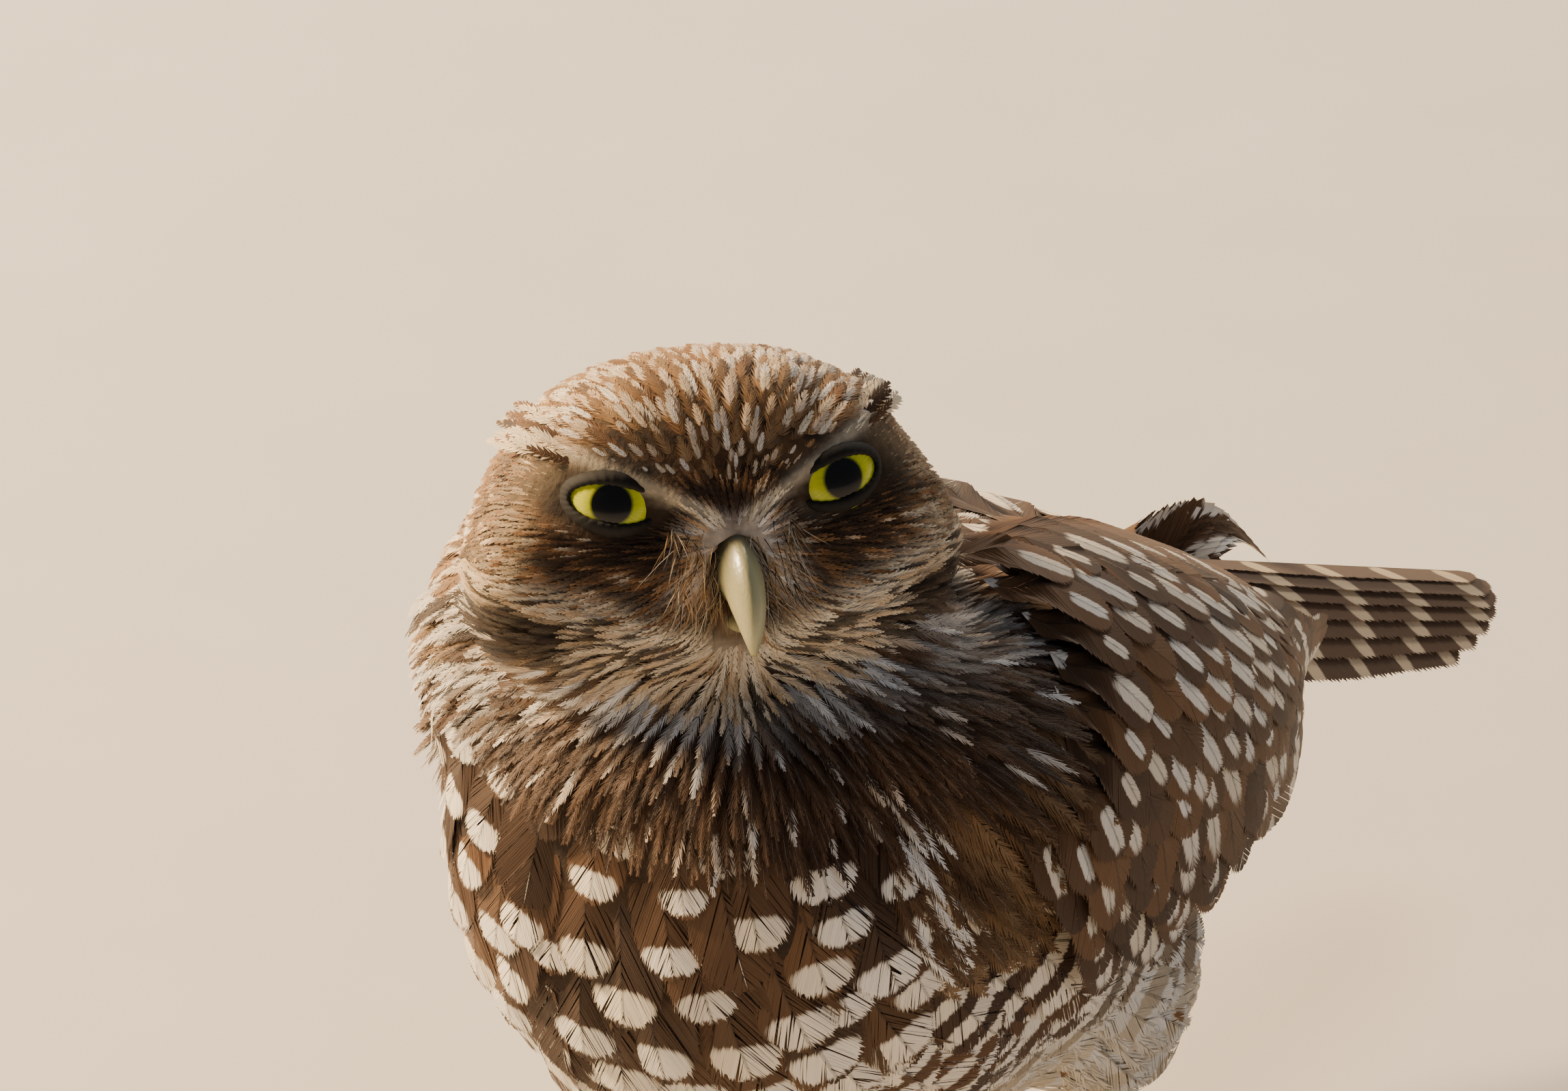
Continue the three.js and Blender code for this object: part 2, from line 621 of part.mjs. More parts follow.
// Head, neck and torso are one form, parted by two thin cuts.
const [torsoWhole, cape] = [torsoSolid(), capeSolid()];
const [upperBill, lowerBill] = [billHalf(UPPER_BILL, 12), billHalf(LOWER_BILL, 8)];
const lids = both((side) => eyeBall(side, EYE.radius + EYE.lid));
const sockets = both((side) => eyeBall(side, EYE.radius + GAP));
const hollows = [sockets, both(lidOpening), both(gape), roomFor(upperBill), roomFor(lowerBill)];
const face = without(headSolid().add(lids), hollows);
const flesh = without(joined([torsoWhole, cape, face]), [partingSlab(HEAD_CUT), partingSlab(NECK_CUT)]);
const [head, neck, torso] = flesh
  .decompose()
  .sort((a, b) => b.volume() - a.volume())
  .slice(0, 3)
  .sort((a, b) => b.boundingBox().max[2] - a.boundingBox().max[2]);

const torsoRoom = roomFor(torsoWhole);
const thighRoom = both((side) => roomFor(thighSolid(side)));
const rectrices = sides.flatMap(([side]) => range(6).map((rank) => tailFeather(rank, side)));
const tail = joined([tailRoot(), ...rectrices]);
const wingRooms = [torsoRoom, roomFor(cape), thighRoom, roomFor(tailRoot())];

const owl = new THREE.Group();

function add(name, solid, skin) {
  const mesh = new THREE.Mesh(geometryOf(largest(solid)), new THREE.MeshStandardMaterial(SKINS[skin]));
  mesh.name = name;
  owl.add(mesh);
}

add("torso", torso, "plumage");
add("neck", neck, "plumage");
add("head", head, "plumage");
add("bill_upper", upperBill.subtract(both(nostril)), "bill");
add("bill_lower", lowerBill.subtract(roomFor(upperBill)), "bill");
add("tail", tail.subtract(torsoRoom), "wing");
for (const [side, name] of sides) {
  const shank = shankSolid(side);
  add("eye_" + name, eyeBall(side, EYE.radius), "eye");
  add("wing_" + name, without(wingSolid(side), wingRooms), "wing");
  add("thigh_" + name, thighSolid(side).subtract(torsoRoom), "pale");
  add("shank_" + name, without(shank, [thighRoom, torsoRoom]), "shank");
  add("foot_" + name, footSolid(side).subtract(roomFor(shank)), "foot");
  for (const toe of TOES) add("claw_" + name + "_" + toe.name, clawSolid(side, toe), "claw");
}

const bounds = new THREE.Box3().setFromObject(owl);
const middle = bounds.getCenter(vec(0, 0, 0));
owl.position.set(-middle.x, -middle.y, -bounds.min.z);

export default owl;
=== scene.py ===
"""The looks of a burrowing owl, life size, crouched low on both feet with its head turned to its left.

Lengths are millimetres in the owl's own layout: the floor under the middle of the head is the origin,
+X is the owl's left, -Y is ahead and +Z is up. Each mesh is moved into the frame's metres at the end.
"""

import math

import bmesh
import bpy
import numpy as np
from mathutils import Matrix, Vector
from mathutils.bvhtree import BVHTree
from mathutils.kdtree import KDTree


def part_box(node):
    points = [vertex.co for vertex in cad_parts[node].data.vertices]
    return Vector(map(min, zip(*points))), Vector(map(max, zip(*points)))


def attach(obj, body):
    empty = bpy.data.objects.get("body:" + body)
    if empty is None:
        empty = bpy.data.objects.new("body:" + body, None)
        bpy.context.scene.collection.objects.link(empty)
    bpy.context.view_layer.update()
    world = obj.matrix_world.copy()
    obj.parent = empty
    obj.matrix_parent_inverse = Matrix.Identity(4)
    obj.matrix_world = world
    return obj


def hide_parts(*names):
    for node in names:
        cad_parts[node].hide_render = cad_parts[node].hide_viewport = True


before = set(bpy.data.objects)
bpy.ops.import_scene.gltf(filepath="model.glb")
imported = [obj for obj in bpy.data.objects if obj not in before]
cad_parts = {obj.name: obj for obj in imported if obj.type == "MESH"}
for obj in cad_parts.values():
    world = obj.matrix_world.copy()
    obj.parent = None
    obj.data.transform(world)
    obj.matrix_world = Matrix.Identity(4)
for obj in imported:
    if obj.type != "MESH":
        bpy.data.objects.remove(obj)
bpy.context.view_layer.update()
MM = 0.001

# Head: in its own frame f points along the bill, l to the owl's left and u to the crown.
HEAD = np.array([-2.8, -1.8, 128.0])
HEAD_TURN = {"yaw": 45.0, "pitch": 20.0, "roll": -1.0}
# An eye's middle in the head, its turn to the side, the radii of its ball and iris, how much its front
# bulges, and what its map says behind it; then the lids' reach from its axis, their slant, how sharp their
# corners are, and how far out and how flat their rims are rolled.
EYE = {
    "forward": 10.5,
    "out": 13.6,
    "up": 4.4,
    "turn": 13.0,
    "radius": 8.0,
    "iris": 6.4,
    "bulge": 0.035,
    "behind": 1.5,
}
LIDS = {
    "inner": 6.2,
    "outer": 5.8,
    "high": 2.9,
    "low": 2.9,
    "slant": 1.1,
    "corner": 1.15,
    "out": 0.6,
    "flat": 0.75,
}
BILL_ROOT = (21.0, 0.0, -2.5)


def unit(vectors):
    """Each vector divided by its length."""
    return vectors / np.maximum(np.linalg.norm(vectors, axis=-1, keepdims=True), 1e-9)


def turned(vector, axis, angle):
    """A vector turned about a unit axis, by Rodrigues' formula."""
    along = axis * (vector @ axis)
    return along + (vector - along) * math.cos(angle) + np.cross(axis, vector) * math.sin(angle)


def head_axes():
    """The head's forward, leftward and crownward directions from its yaw, pitch and roll."""
    yaw, pitch, roll = (math.radians(HEAD_TURN[name]) for name in ("yaw", "pitch", "roll"))
    forward = np.array([math.sin(yaw) * math.cos(pitch), -math.cos(yaw) * math.cos(pitch), math.sin(pitch)])
    leftward = turned(np.array([math.cos(yaw), math.sin(yaw), 0.0]), forward, -roll)
    return np.array([forward, leftward, np.cross(forward, leftward)])


HEAD_AXES = head_axes()


def from_head(places):
    """Places given as forward, left and up in the head, as layout points."""
    return HEAD + np.asarray(places, float) @ HEAD_AXES


def in_head(points):
    """Layout points as forward, left and up in the head."""
    return (points - HEAD) @ HEAD_AXES.T


def eye_axes(side):
    """An eye's middle, and its axis, inward and upward directions. side is 1 on the left."""
    forward, _, crown = HEAD_AXES
    axis = turned(forward, crown, side * math.radians(EYE["turn"]))
    inward = unit(np.cross(crown, axis) * -side)
    return from_head([EYE["forward"], side * EYE["out"], EYE["up"]]), axis, inward, crown


low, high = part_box("eye_left")
SHIFT = (np.array(low) + np.array(high)) / 2 / MM - eye_axes(1)[0]


def smooth(value, start, end):
    """0 before start, 1 after end, with an even S-curve between."""
    share = np.clip((value - start) / (end - start), 0, 1)
    return share * share * (3 - 2 * share)


def bump(value, width):
    """A bell curve, 1 in the middle and falling off over width."""
    return np.exp(-((value / width) ** 2))


def mix(a, b, share):
    """The value a share of the way from a to b."""
    return a + (b - a) * share


def draws(name):
    """A repeatable source of random numbers for one piece."""
    return np.random.default_rng([ord(letter) for letter in name])


# Colours and shader nodes


def linear(hexed):
    """An sRGB hex colour as linear red, green and blue."""
    value = np.array([int(hexed[i : i + 2], 16) for i in (0, 2, 4)]) / 255
    return np.where(value <= 0.04045, value / 12.92, ((value + 0.055) / 1.055) ** 2.4)


def paint(hexed):
    """An sRGB hex colour as a shader socket's linear colour."""
    return (*linear(hexed), 1.0)


def add(tree, kind, inputs=(), stops=(), **settings):
    """Adds a shader node with its settings, and a colour ramp's (place, hex colour) stops. Each input, by
    name or in order, is a value, or what to link: another node's output, or a node, for its first output."""
    node = tree.nodes.new("ShaderNode" + kind)
    for key, value in settings.items():
        setattr(node, key, value)
    for key, value in inputs.items() if isinstance(inputs, dict) else enumerate(inputs):
        if isinstance(value, bpy.types.Node):
            value = value.outputs[0]
        if isinstance(value, bpy.types.NodeSocket):
            tree.links.new(value, node.inputs[key])
        else:
            node.inputs[key].default_value = value
    if stops:
        while len(node.color_ramp.elements) < len(stops):
            node.color_ramp.elements.new(1.0)
        for element, (place, colour) in zip(node.color_ramp.elements, stops):
            element.position = place
            element.color = paint(colour)
    return node


def new_material(name):
    """A new material and its node tree, emptied."""
    material = bpy.data.materials.new(name)
    material.use_nodes = True
    tree = material.node_tree
    tree.nodes.clear()
    return material, tree


def finish_material(tree, shader_inputs):
    """Ends a material with its main shader and its output."""
    shader = add(tree, "BsdfPrincipled", shader_inputs)
    add(tree, "OutputMaterial", {"Surface": shader})


# Meshes


def piece(name, points, triangles, material, uvs=None, colours=None):
    """A named piece from layout points and triangles, with UV maps and colour attributes by name."""
    mesh = bpy.data.meshes.new(name)
    mesh.vertices.add(len(points))
    mesh.vertices.foreach_set("co", ((points + SHIFT) * MM).astype(np.float32).ravel())
    mesh.loops.add(triangles.size)
    mesh.loops.foreach_set("vertex_index", triangles.astype(np.int32).ravel())
    mesh.polygons.add(len(triangles))
    mesh.polygons.foreach_set("loop_start", np.arange(0, triangles.size, 3, dtype=np.int32))
    mesh.update(calc_edges=True)
    mesh.polygons.foreach_set("use_smooth", np.ones(len(triangles), bool))
    for key, values in (uvs or {}).items():
        layer = mesh.uv_layers.new(name=key)
        layer.uv.foreach_set("vector", values[triangles.ravel()].astype(np.float32).ravel())
    for key, values in (colours or {}).items():
        layer = mesh.color_attributes.new(name=key, type="FLOAT_COLOR", domain="POINT")
        layer.data.foreach_set("color", values.astype(np.float32).ravel())
    mesh.materials.append(material)
    mesh.validate()
    made = bpy.data.objects.new(name, mesh)
    bpy.context.scene.collection.objects.link(made)
    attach(made, "root")
    return made


def grid_triangles(rows, columns):
    """Two triangles for each cell of a grid of rows and columns of points, closed round each row."""
    row, column = np.meshgrid(np.arange(rows - 1), np.arange(columns), indexing="ij")
    after = (column + 1) % columns
    a, b = row * columns + column, row * columns + after
    c, d = (row + 1) * columns + after, (row + 1) * columns + column
    return np.stack([a, b, c, a, c, d], -1).reshape(-1, 3)


def closed_grid(rings):
    """Points and triangles of rings (rows, columns, 3) closed to a point at each end."""
    rows, columns, _ = rings.shape
    points = np.concatenate([rings.reshape(-1, 3), rings[0].mean(0)[None], rings[-1].mean(0)[None]])
    j = np.arange(columns)
    first = np.stack([np.full(columns, rows * columns), (j + 1) % columns, j], -1)
    last = (rows - 1) * columns
    end = np.stack([np.full(columns, rows * columns + 1), last + j, last + (j + 1) % columns], -1)
    triangles = np.concatenate([grid_triangles(rows, columns), first, end])
    return points, outward(points, triangles)


def outward(points, triangles):
    """The triangles of a closed surface, turned round if its volume is negative."""
    a, b, c = (points[triangles[:, k]] for k in range(3))
    volume = np.einsum("ij,ij->i", a, np.cross(b, c)).sum()
    return triangles if volume > 0 else triangles[:, ::-1]


def through(rows, at):
    """A smooth curve through rows of numbers, each row's first number being its place: cubic pieces whose
    slopes are those between the neighbouring rows."""
    rows = np.asarray(rows, float)
    place, values = rows[:, 0], rows[:, 1:]
    slopes = np.gradient(values, place, axis=0)
    i = np.clip(np.searchsorted(place, at) - 1, 0, len(place) - 2)
    step = (place[i + 1] - place[i])[..., None]
    t = np.clip((at - place[i])[..., None] / step, 0, 1)
    return (
        values[i] * (2 * t**3 - 3 * t**2 + 1)
        + slopes[i] * step * (t**3 - 2 * t**2 + t)
        + values[i + 1] * (3 * t**2 - 2 * t**3)
        + slopes[i + 1] * step * (t**3 - t**2)
    )


# The wing's sheet, on which its feathers lie

# The wings' sheet: each row is a place along it, then its half width and its height above and below its
# middle line there.
SHEET = [
    (-31, 20, 14, 14),
    (-27, 31, 26, 30),
    (-20, 40.5, 33, 38),
    (-10, 45.5, 37, 45),
    (6, 48.2, 39.5, 49),
    (26, 49, 40, 50),
    (46, 48.5, 36.5, 47),
    (66, 45.5, 30, 41),
    (86, 38, 21.5, 30),
    (106, 26, 12.5, 18),
    (126, 17, 8.5, 12),
    (146, 11.5, 6, 8),
    (166, 8, 4, 6),
]
SHEET_MIDDLE = {"at": 82, "fall": 0.15, "bend": 0.0016, "from": 90}
SQUARE = 0.8
RAISED = {"high": 12, "y": 138, "long": 12, "reach": 20}
CORE = {"y": 31, "angle": 61, "long": 43, "half": 42, "bend": 0.004, "deep": 7.5, "sink": 0.5, "rim": 6}


def on_sheet(side, y, angle, out):
    """A place on a wing's sheet: y, radians from the ridge of the back and the height above it. Sections are
    squarish ovals, mirrored on the right, where the wing is also raised towards its tip."""
    wide, up, down = np.moveaxis(through(SHEET, y), -1, 0)
    across = np.sign(np.sin(angle)) * np.abs(np.sin(angle)) ** SQUARE
    rise = np.sign(np.cos(angle)) * np.abs(np.cos(angle)) ** SQUARE
    raised = 0 if side > 0 else RAISED["high"] * bump(y - RAISED["y"], RAISED["long"])
    droop = SHEET_MIDDLE["bend"] * np.maximum(0, y - SHEET_MIDDLE["from"]) ** 2
    middle = SHEET_MIDDLE["at"] - SHEET_MIDDLE["fall"] * y - droop + raised
    height = middle + (np.where(rise > 0, up, down) + out) * rise
    return np.stack([side * (wide + out) * across, y + 0 * angle, height], -1)


def wing_core(side):
    """The flesh of a folded wing: a lens under its feathers, thin and sunk at its rim."""
    s = np.linspace(-0.98, 0.98, 25)[:, None]
    around = np.linspace(0, 2 * math.pi, 41)[None, :-1]
    c = np.cos(around) + 0 * s
    rim = s * s + c * c * (1 - s * s)
    y = CORE["y"] + CORE["long"] * s + 0 * c
    angle = CORE["angle"] - CORE["bend"] * (y - CORE["y"]) ** 2 + CORE["half"] * np.sqrt(1 - s * s) * c
    out = -CORE["sink"] - CORE["rim"] * rim**2
    under = np.where(np.sin(around) > 0, 0, CORE["deep"] * np.sqrt(np.maximum(0, 1 - rim)))
    return closed_grid(on_sheet(side, y, np.radians(angle), out - under))


# Skin: one form under all the feathers

FLESH = ["torso", "neck", "head", "thigh_left", "thigh_right", "shank_left", "shank_right"]
FILL = ["eye_left", "eye_right"]
SKIN = {"voxel": 1.3, "grow": 0.45, "smoothing": 5, "pull": 0.6}
PLUG = {"f": 14.0, "u": -8.0, "deep": 5.5, "wide": 4.6, "high": 7.5}


def node_surface(name):
    """A copy of a CAD node's corners and triangles in the layout, its loose triangles joined and moved out
    along their normals so that neighbours fuse."""
    copy = bmesh.new()
    copy.from_mesh(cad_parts[name].data)
    bmesh.ops.remove_doubles(copy, verts=copy.verts, dist=1e-6)
    bmesh.ops.triangulate(copy, faces=copy.faces)
    copy.normal_update()
    corners = [vertex.co + vertex.normal * (SKIN["grow"] * MM) for vertex in copy.verts]
    triangles = [[vertex.index for vertex in face.verts] for face in copy.faces]
    copy.free()
    return np.array(corners) / MM - SHIFT, np.array(triangles)


def fused(parts):
    """Closed parts merged into one even surface by a voxel remesh, as points, quads and a neighbour list."""
    starts = np.cumsum([0] + [len(points) for points, _ in parts])
    points = np.concatenate([points for points, _ in parts])
    triangles = np.concatenate([faces + start for (_, faces), start in zip(parts, starts)])
    mesh = bpy.data.meshes.new("fused")
    mesh.from_pydata((points * MM).tolist(), [], triangles.tolist())
    holder = bpy.data.objects.new("fused", mesh)
    bpy.context.scene.collection.objects.link(holder)
    remesh = holder.modifiers.new("remesh", "REMESH")
    remesh.mode = "VOXEL"
    remesh.voxel_size = SKIN["voxel"] * MM
    done = holder.evaluated_get(bpy.context.evaluated_depsgraph_get()).to_mesh()
    corners = np.empty(len(done.vertices) * 3, np.float32)
    done.vertices.foreach_get("co", corners)
    edges = np.empty(len(done.edges) * 2, np.int32)
    done.edges.foreach_get("vertices", edges)
    quads = np.empty(len(done.loops), np.int32)
    done.loops.foreach_get("vertex_index", quads)
    bpy.data.objects.remove(holder)
    return corners.reshape(-1, 3) / MM, quads.reshape(-1, 4), edges.reshape(-1, 2)


def biggest_island(points, quads, edges):
    """Only the largest connected surface, which drops what the remesh sealed inside. Each corner takes the
    smallest label among its neighbours until nothing changes."""
    label = np.arange(len(points))
    while True:
        lowest = label.copy()
        np.minimum.at(lowest, edges[:, 0], label[edges[:, 1]])
        np.minimum.at(lowest, edges[:, 1], label[edges[:, 0]])
        lowest = lowest[lowest]
        if np.array_equal(lowest, label):
            break
        label = lowest
    keep = label == np.bincount(label).argmax()
    renumber = np.cumsum(keep) - 1
    return points[keep], renumber[quads[keep[quads[:, 0]]]], renumber[edges[keep[edges[:, 0]]]]


def relaxed(points, edges, rounds):
    """Each corner moved to the middle of its neighbours, some rounds over."""
    count = np.bincount(edges.ravel(), minlength=len(points))[:, None]
    for _ in range(rounds):
        total = np.zeros_like(points)
        np.add.at(total, edges[:, 0], points[edges[:, 1]])
        np.add.at(total, edges[:, 1], points[edges[:, 0]])
        points = mix(points, total / count, SKIN["pull"])
    return points


def quad_normals(points, quads):
    """Each corner's normal, from the diagonals of the quads round it."""
    a, b, c, d = (points[quads[:, k]] for k in range(4))
    faces = np.cross(c - a, d - b)
    normals = np.zeros_like(points)
    for k in range(4):
        np.add.at(normals, quads[:, k], faces)
    return unit(normals)


# The slopes of the neck's rim to the rear and to the left, and the depths of the coat.
NECK = {"rear": 0.25, "left": 0.1}
DEPTH = {"body": 2.6, "shank": 0.7, "head": 1.6, "face": 0.9}


def above_neck(points):
    """How high each place is over a floor tilted like the neck's rim: above about 110 it is on the head."""
    return points[:, 2] - NECK["rear"] * points[:, 1] + NECK["left"] * points[:, 0]


def coat_depth(points):
    """How deep the coat is at each place: thin on the face and shanks, thickest on the breast and flanks."""
    on_head = smooth(above_neck(points), 104, 118)
    on_face = on_head * smooth(in_head(points)[:, 0], 0, 12)
    on_shank = smooth(-points[:, 2], -34, -24)
    body = mix(DEPTH["body"], DEPTH["shank"], on_shank)
    return mix(mix(body, DEPTH["head"], on_head), DEPTH["face"], on_face)


def bill_root():
    """A plug that closes the skin behind the bill: an egg in the bill's socket."""
    polar = np.linspace(0, math.pi, 18)[1:-1][:, None]
    around = np.linspace(0, 2 * math.pi, 25)[None, :-1]
    f = PLUG["f"] + PLUG["deep"] * np.cos(polar) + 0 * around
    l = PLUG["wide"] * np.sin(polar) * np.cos(around)
    u = PLUG["u"] + PLUG["high"] * np.sin(polar) * np.sin(around)
    places = np.stack([f, l, u], -1)
    return closed_grid(from_head(places.reshape(-1, 3)).reshape(places.shape))


class Skin:
    """The skin's surface, with its distance field on a grid for laying feathers on it. GRID is from one of
    its points to the next, and MARGIN how far it reaches past the skin."""

    GRID = 2.0
    MARGIN = 14.0

    def __init__(self):
        """Fuses the flesh, keeps its outer surface, smooths it and draws it in by the depth of the coat."""
        parts = [node_surface(name) for name in FLESH + FILL] + [wing_core(side) for side in (1, -1)]
        points, quads, edges = biggest_island(*fused(parts + [bill_root()]))
        points = relaxed(points, edges, SKIN["smoothing"])
        normals = quad_normals(points, quads)
        points = points - normals * (coat_depth(points) + SKIN["grow"])[:, None]
        self.points = relaxed(points, edges, 1)
        self.quads = quads
        self.normals = quad_normals(self.points, quads)
        self.tree = BVHTree.FromPolygons(self.points.tolist(), quads.tolist())
        self.fill_grid()

    def fill_grid(self):
        """The signed distance to the surface and its slope at each point of a grid round the skin."""
        self.low = self.points.min(0) - self.MARGIN
        counts = np.ceil((self.points.max(0) + self.MARGIN - self.low) / self.GRID).astype(int) + 1
        axes = [self.low[k] + self.GRID * np.arange(counts[k]) for k in range(3)]
        spots = np.stack(np.meshgrid(*axes, indexing="ij"), -1).reshape(-1, 3)
        found = [self.tree.find_nearest(spot) for spot in spots.tolist()]
        near = np.array([hit[0] for hit in found])
        face = np.array([hit[1] for hit in found])
        away = spots - near
        sign = np.where(np.einsum("ij,ij->i", away, face) < 0, -1, 1)
        distance = (np.linalg.norm(away, axis=1) * sign).reshape(counts)
        slope = np.stack(np.gradient(distance, self.GRID), -1)
        self.field = np.concatenate([distance[..., None], slope], -1).reshape(-1, 4)
        self.counts = counts

    def read(self, points):
        """The height above the skin and the outward direction at each point, blended from the eight grid
        points round it."""
        place = np.clip((points - self.low) / self.GRID, 0, self.counts - 1.001)
        cell = place.astype(int)
        share = place - cell
        strides = np.array([self.counts[1] * self.counts[2], self.counts[2], 1])
        base = cell @ strides
        total = 0
        for corner in np.ndindex(2, 2, 2):
            weight = np.prod(np.where(corner, share, 1 - share), axis=-1)
            total = total + weight[..., None] * self.field[base + corner @ strides]
        return total[..., 0], unit(total[..., 1:])

    def settle(self, points, height):
        """The points moved straight in or out to a height above the skin."""
        for _ in range(2):
            now, away = self.read(points)
            points = points + away * (height - now)[..., None]
        return points


skin = Skin()


# Markings: the colours of the coat by place

BROWN = linear("5c422c")
DARK = linear("2a1c13")
UMBER = linear("3e2b1d")
WARM = linear("8a6139")
TAN = linear("bb9566")
BUFF = linear("d2b88f")
WHITE = linear("f0e9dc")
CREAM = linear("e4d3b4")


def over(base, colour, share):
    """A colour laid over another by a share at each place."""
    return base + (colour - base) * np.asarray(share)[..., None]


# A field's waves: how many, how close for their blotches' size, the turn their starts are drawn from, and
# the height they are evened by.
WAVES = {"count": 5, "close": 2.2, "turn": 6.28, "high": 2.6}


def wobble(points, size, seed):
    """A smooth field from about -1 to 1 with blotches about size wide: a sum of sine waves, each in a seeded
    direction and from a seeded start."""
    source = np.random.default_rng(seed)
    total = 0
    for _ in range(WAVES["count"]):
        wave = source.normal(size=3) / size * WAVES["close"]
        total = total + np.sin(points @ wave + source.uniform(0, WAVES["turn"]))
    return total / WAVES["high"]


# The lines of the head's markings: how far up or down each crosses its middle, and how much it rises to
# each side.
BROW = {"inner": 1.2, "slope": 0.46}
BAND = {"inner": 0.2, "slope": 0.56}
WHISKERS = {"down": 18.5, "slope": 0.38}
THROAT = {"down": 26.5, "slope": 0.18}
DISC = {"half_wide": 29, "half_high": 21, "down": 4}


def head_lines(points):
    """What the head's markings are measured from, at each place: how far above the brow, the pale band over
    it, the line of the whiskers and the line of the throat it lies, its share of the facial disc, and whether
    it is on the head."""
    f, l, u = in_head(points).T
    side = np.abs(l)
    return {
        "f": f,
        "l": l,
        "u": u,
        "side": side,
        "brow": u - BROW["inner"] - BROW["slope"] * side,
        "band": u - BAND["inner"] - BAND["slope"] * side,
        "whisker": u + WHISKERS["down"] - WHISKERS["slope"] * side,
        "throat": u + THROAT["down"] - THROAT["slope"] * side,
        "disc": np.hypot(side / DISC["half_wide"], (u + DISC["down"]) / DISC["half_high"]),
        "head": smooth(above_neck(points), 100, 112),
    }


def face_colour(points, dice):
    """Brown streaked cheeks, pale brows that meet over the bill, pale lores lifted towards white as painted
    light, and whiskers. dice streaks one feather darker or paler than the next."""
    at = head_lines(points)
    streaks = wobble(points, 2.6, 3) * 0.45 + wobble(points, 6, 4) * 0.35 + (dice - 0.5) * 1.3
    colour = over(np.broadcast_to(WARM, points.shape), UMBER, smooth(streaks, -0.55, 0.35))
    colour = over(colour, CREAM, 0.75 * smooth(streaks, -0.55, -0.95))
    under_eye = bump(at["side"] - 14, 9) * bump(at["u"] + 2.6 - 0.1 * at["side"], 3.0)
    colour = over(colour, DARK, 0.8 * under_eye * smooth(dice, 0.0, 0.4))
    gape = bump(at["side"] - 5.6, 2.6) * smooth(-at["u"], 5, 8) * (1 - smooth(-at["u"], 15, 18))
    colour = over(colour, DARK, 0.8 * gape)
    ring = 1 - smooth(eye_opening(points), 1.3, 1.9)
    colour = over(colour, DARK, 0.75 * ring)
    rim = bump(at["disc"] - 1.0, 0.1) * smooth(at["side"], 12, 20)
    colour = over(colour, BUFF, 0.55 * rim * smooth(dice, 0.2, 0.7))
    # The lores: their own pale cream, mixed up to white as painted light against the shade beside the bill's
    # root.
    lores = bump(at["side"] - 3.2 - 0.5 * np.maximum(0, -at["u"] - 2), 2.8) * smooth(-at["u"], -3, 0)
    lores = lores * (1 - smooth(-at["u"], 6, 12)) * smooth(at["f"], 12, 17)
    colour = over(colour, mix(TAN, WHITE, dice[..., None]), np.clip(1.4 * lores, 0, 1))
    brow = bump(at["band"], 0.9 + 0.01 * at["side"])
    brow = brow * smooth(at["side"], 0.5, 3) * (1 - smooth(at["side"], 22, 28))
    colour = over(colour, CREAM, np.clip(1.3 * brow * smooth(at["f"], 0, 6), 0, 1))
    whisker = bump(at["whisker"], 3.0) * smooth(at["f"], -2, 6) * smooth(dice, 0.05, 0.4)
    colour = over(colour, CREAM, np.clip(1.1 * whisker, 0, 1))
    return colour


def collar_colour(points, dice):
    """From the whiskers down: dark patches to each side, tan tufts between, a white throat band, and the
    breast's brown below."""
    at = head_lines(points)
    colour = over(np.broadcast_to(BROWN, points.shape), UMBER, smooth(dice, 0.2, 0.9))
    above = smooth(at["throat"], 0.5, 3.5)
    tan = smooth(wobble(points, 6, 8) + dice - 0.5, -0.35, 0.35) * above
    colour = over(colour, TAN, 0.95 * tan)
    chin = bump(at["side"], 16) * above * smooth(dice, 0.25, 0.7)
    colour = over(colour, CREAM, 0.6 * chin * smooth(wobble(points, 4, 12), -0.3, 0.4))
    dark = smooth(at["side"], 18, 25) * smooth(at["throat"], 3.5, 6.5) * smooth(-at["whisker"], -1, 1.5)
    colour = over(colour, DARK, 0.92 * dark)
    throat = bump(at["throat"], 3.4) * smooth(at["f"], -14, -4) * smooth(dice, 0.1, 0.45)
    throat = throat * (1 - 0.75 * smooth(wobble(points, 7, 17), 0.1, 0.5))
    colour = over(colour, WHITE, np.clip(1.35 * throat, 0, 1))
    nape = smooth(-at["f"], 2, 12) * smooth(dice, 0.45, 0.6)
    return over(colour, WHITE, 0.85 * nape)


# Feathers


# The first and last place along a feather where a barb leaves its shaft.
FIRST_BARB = 0.04
LAST_BARB = 0.985


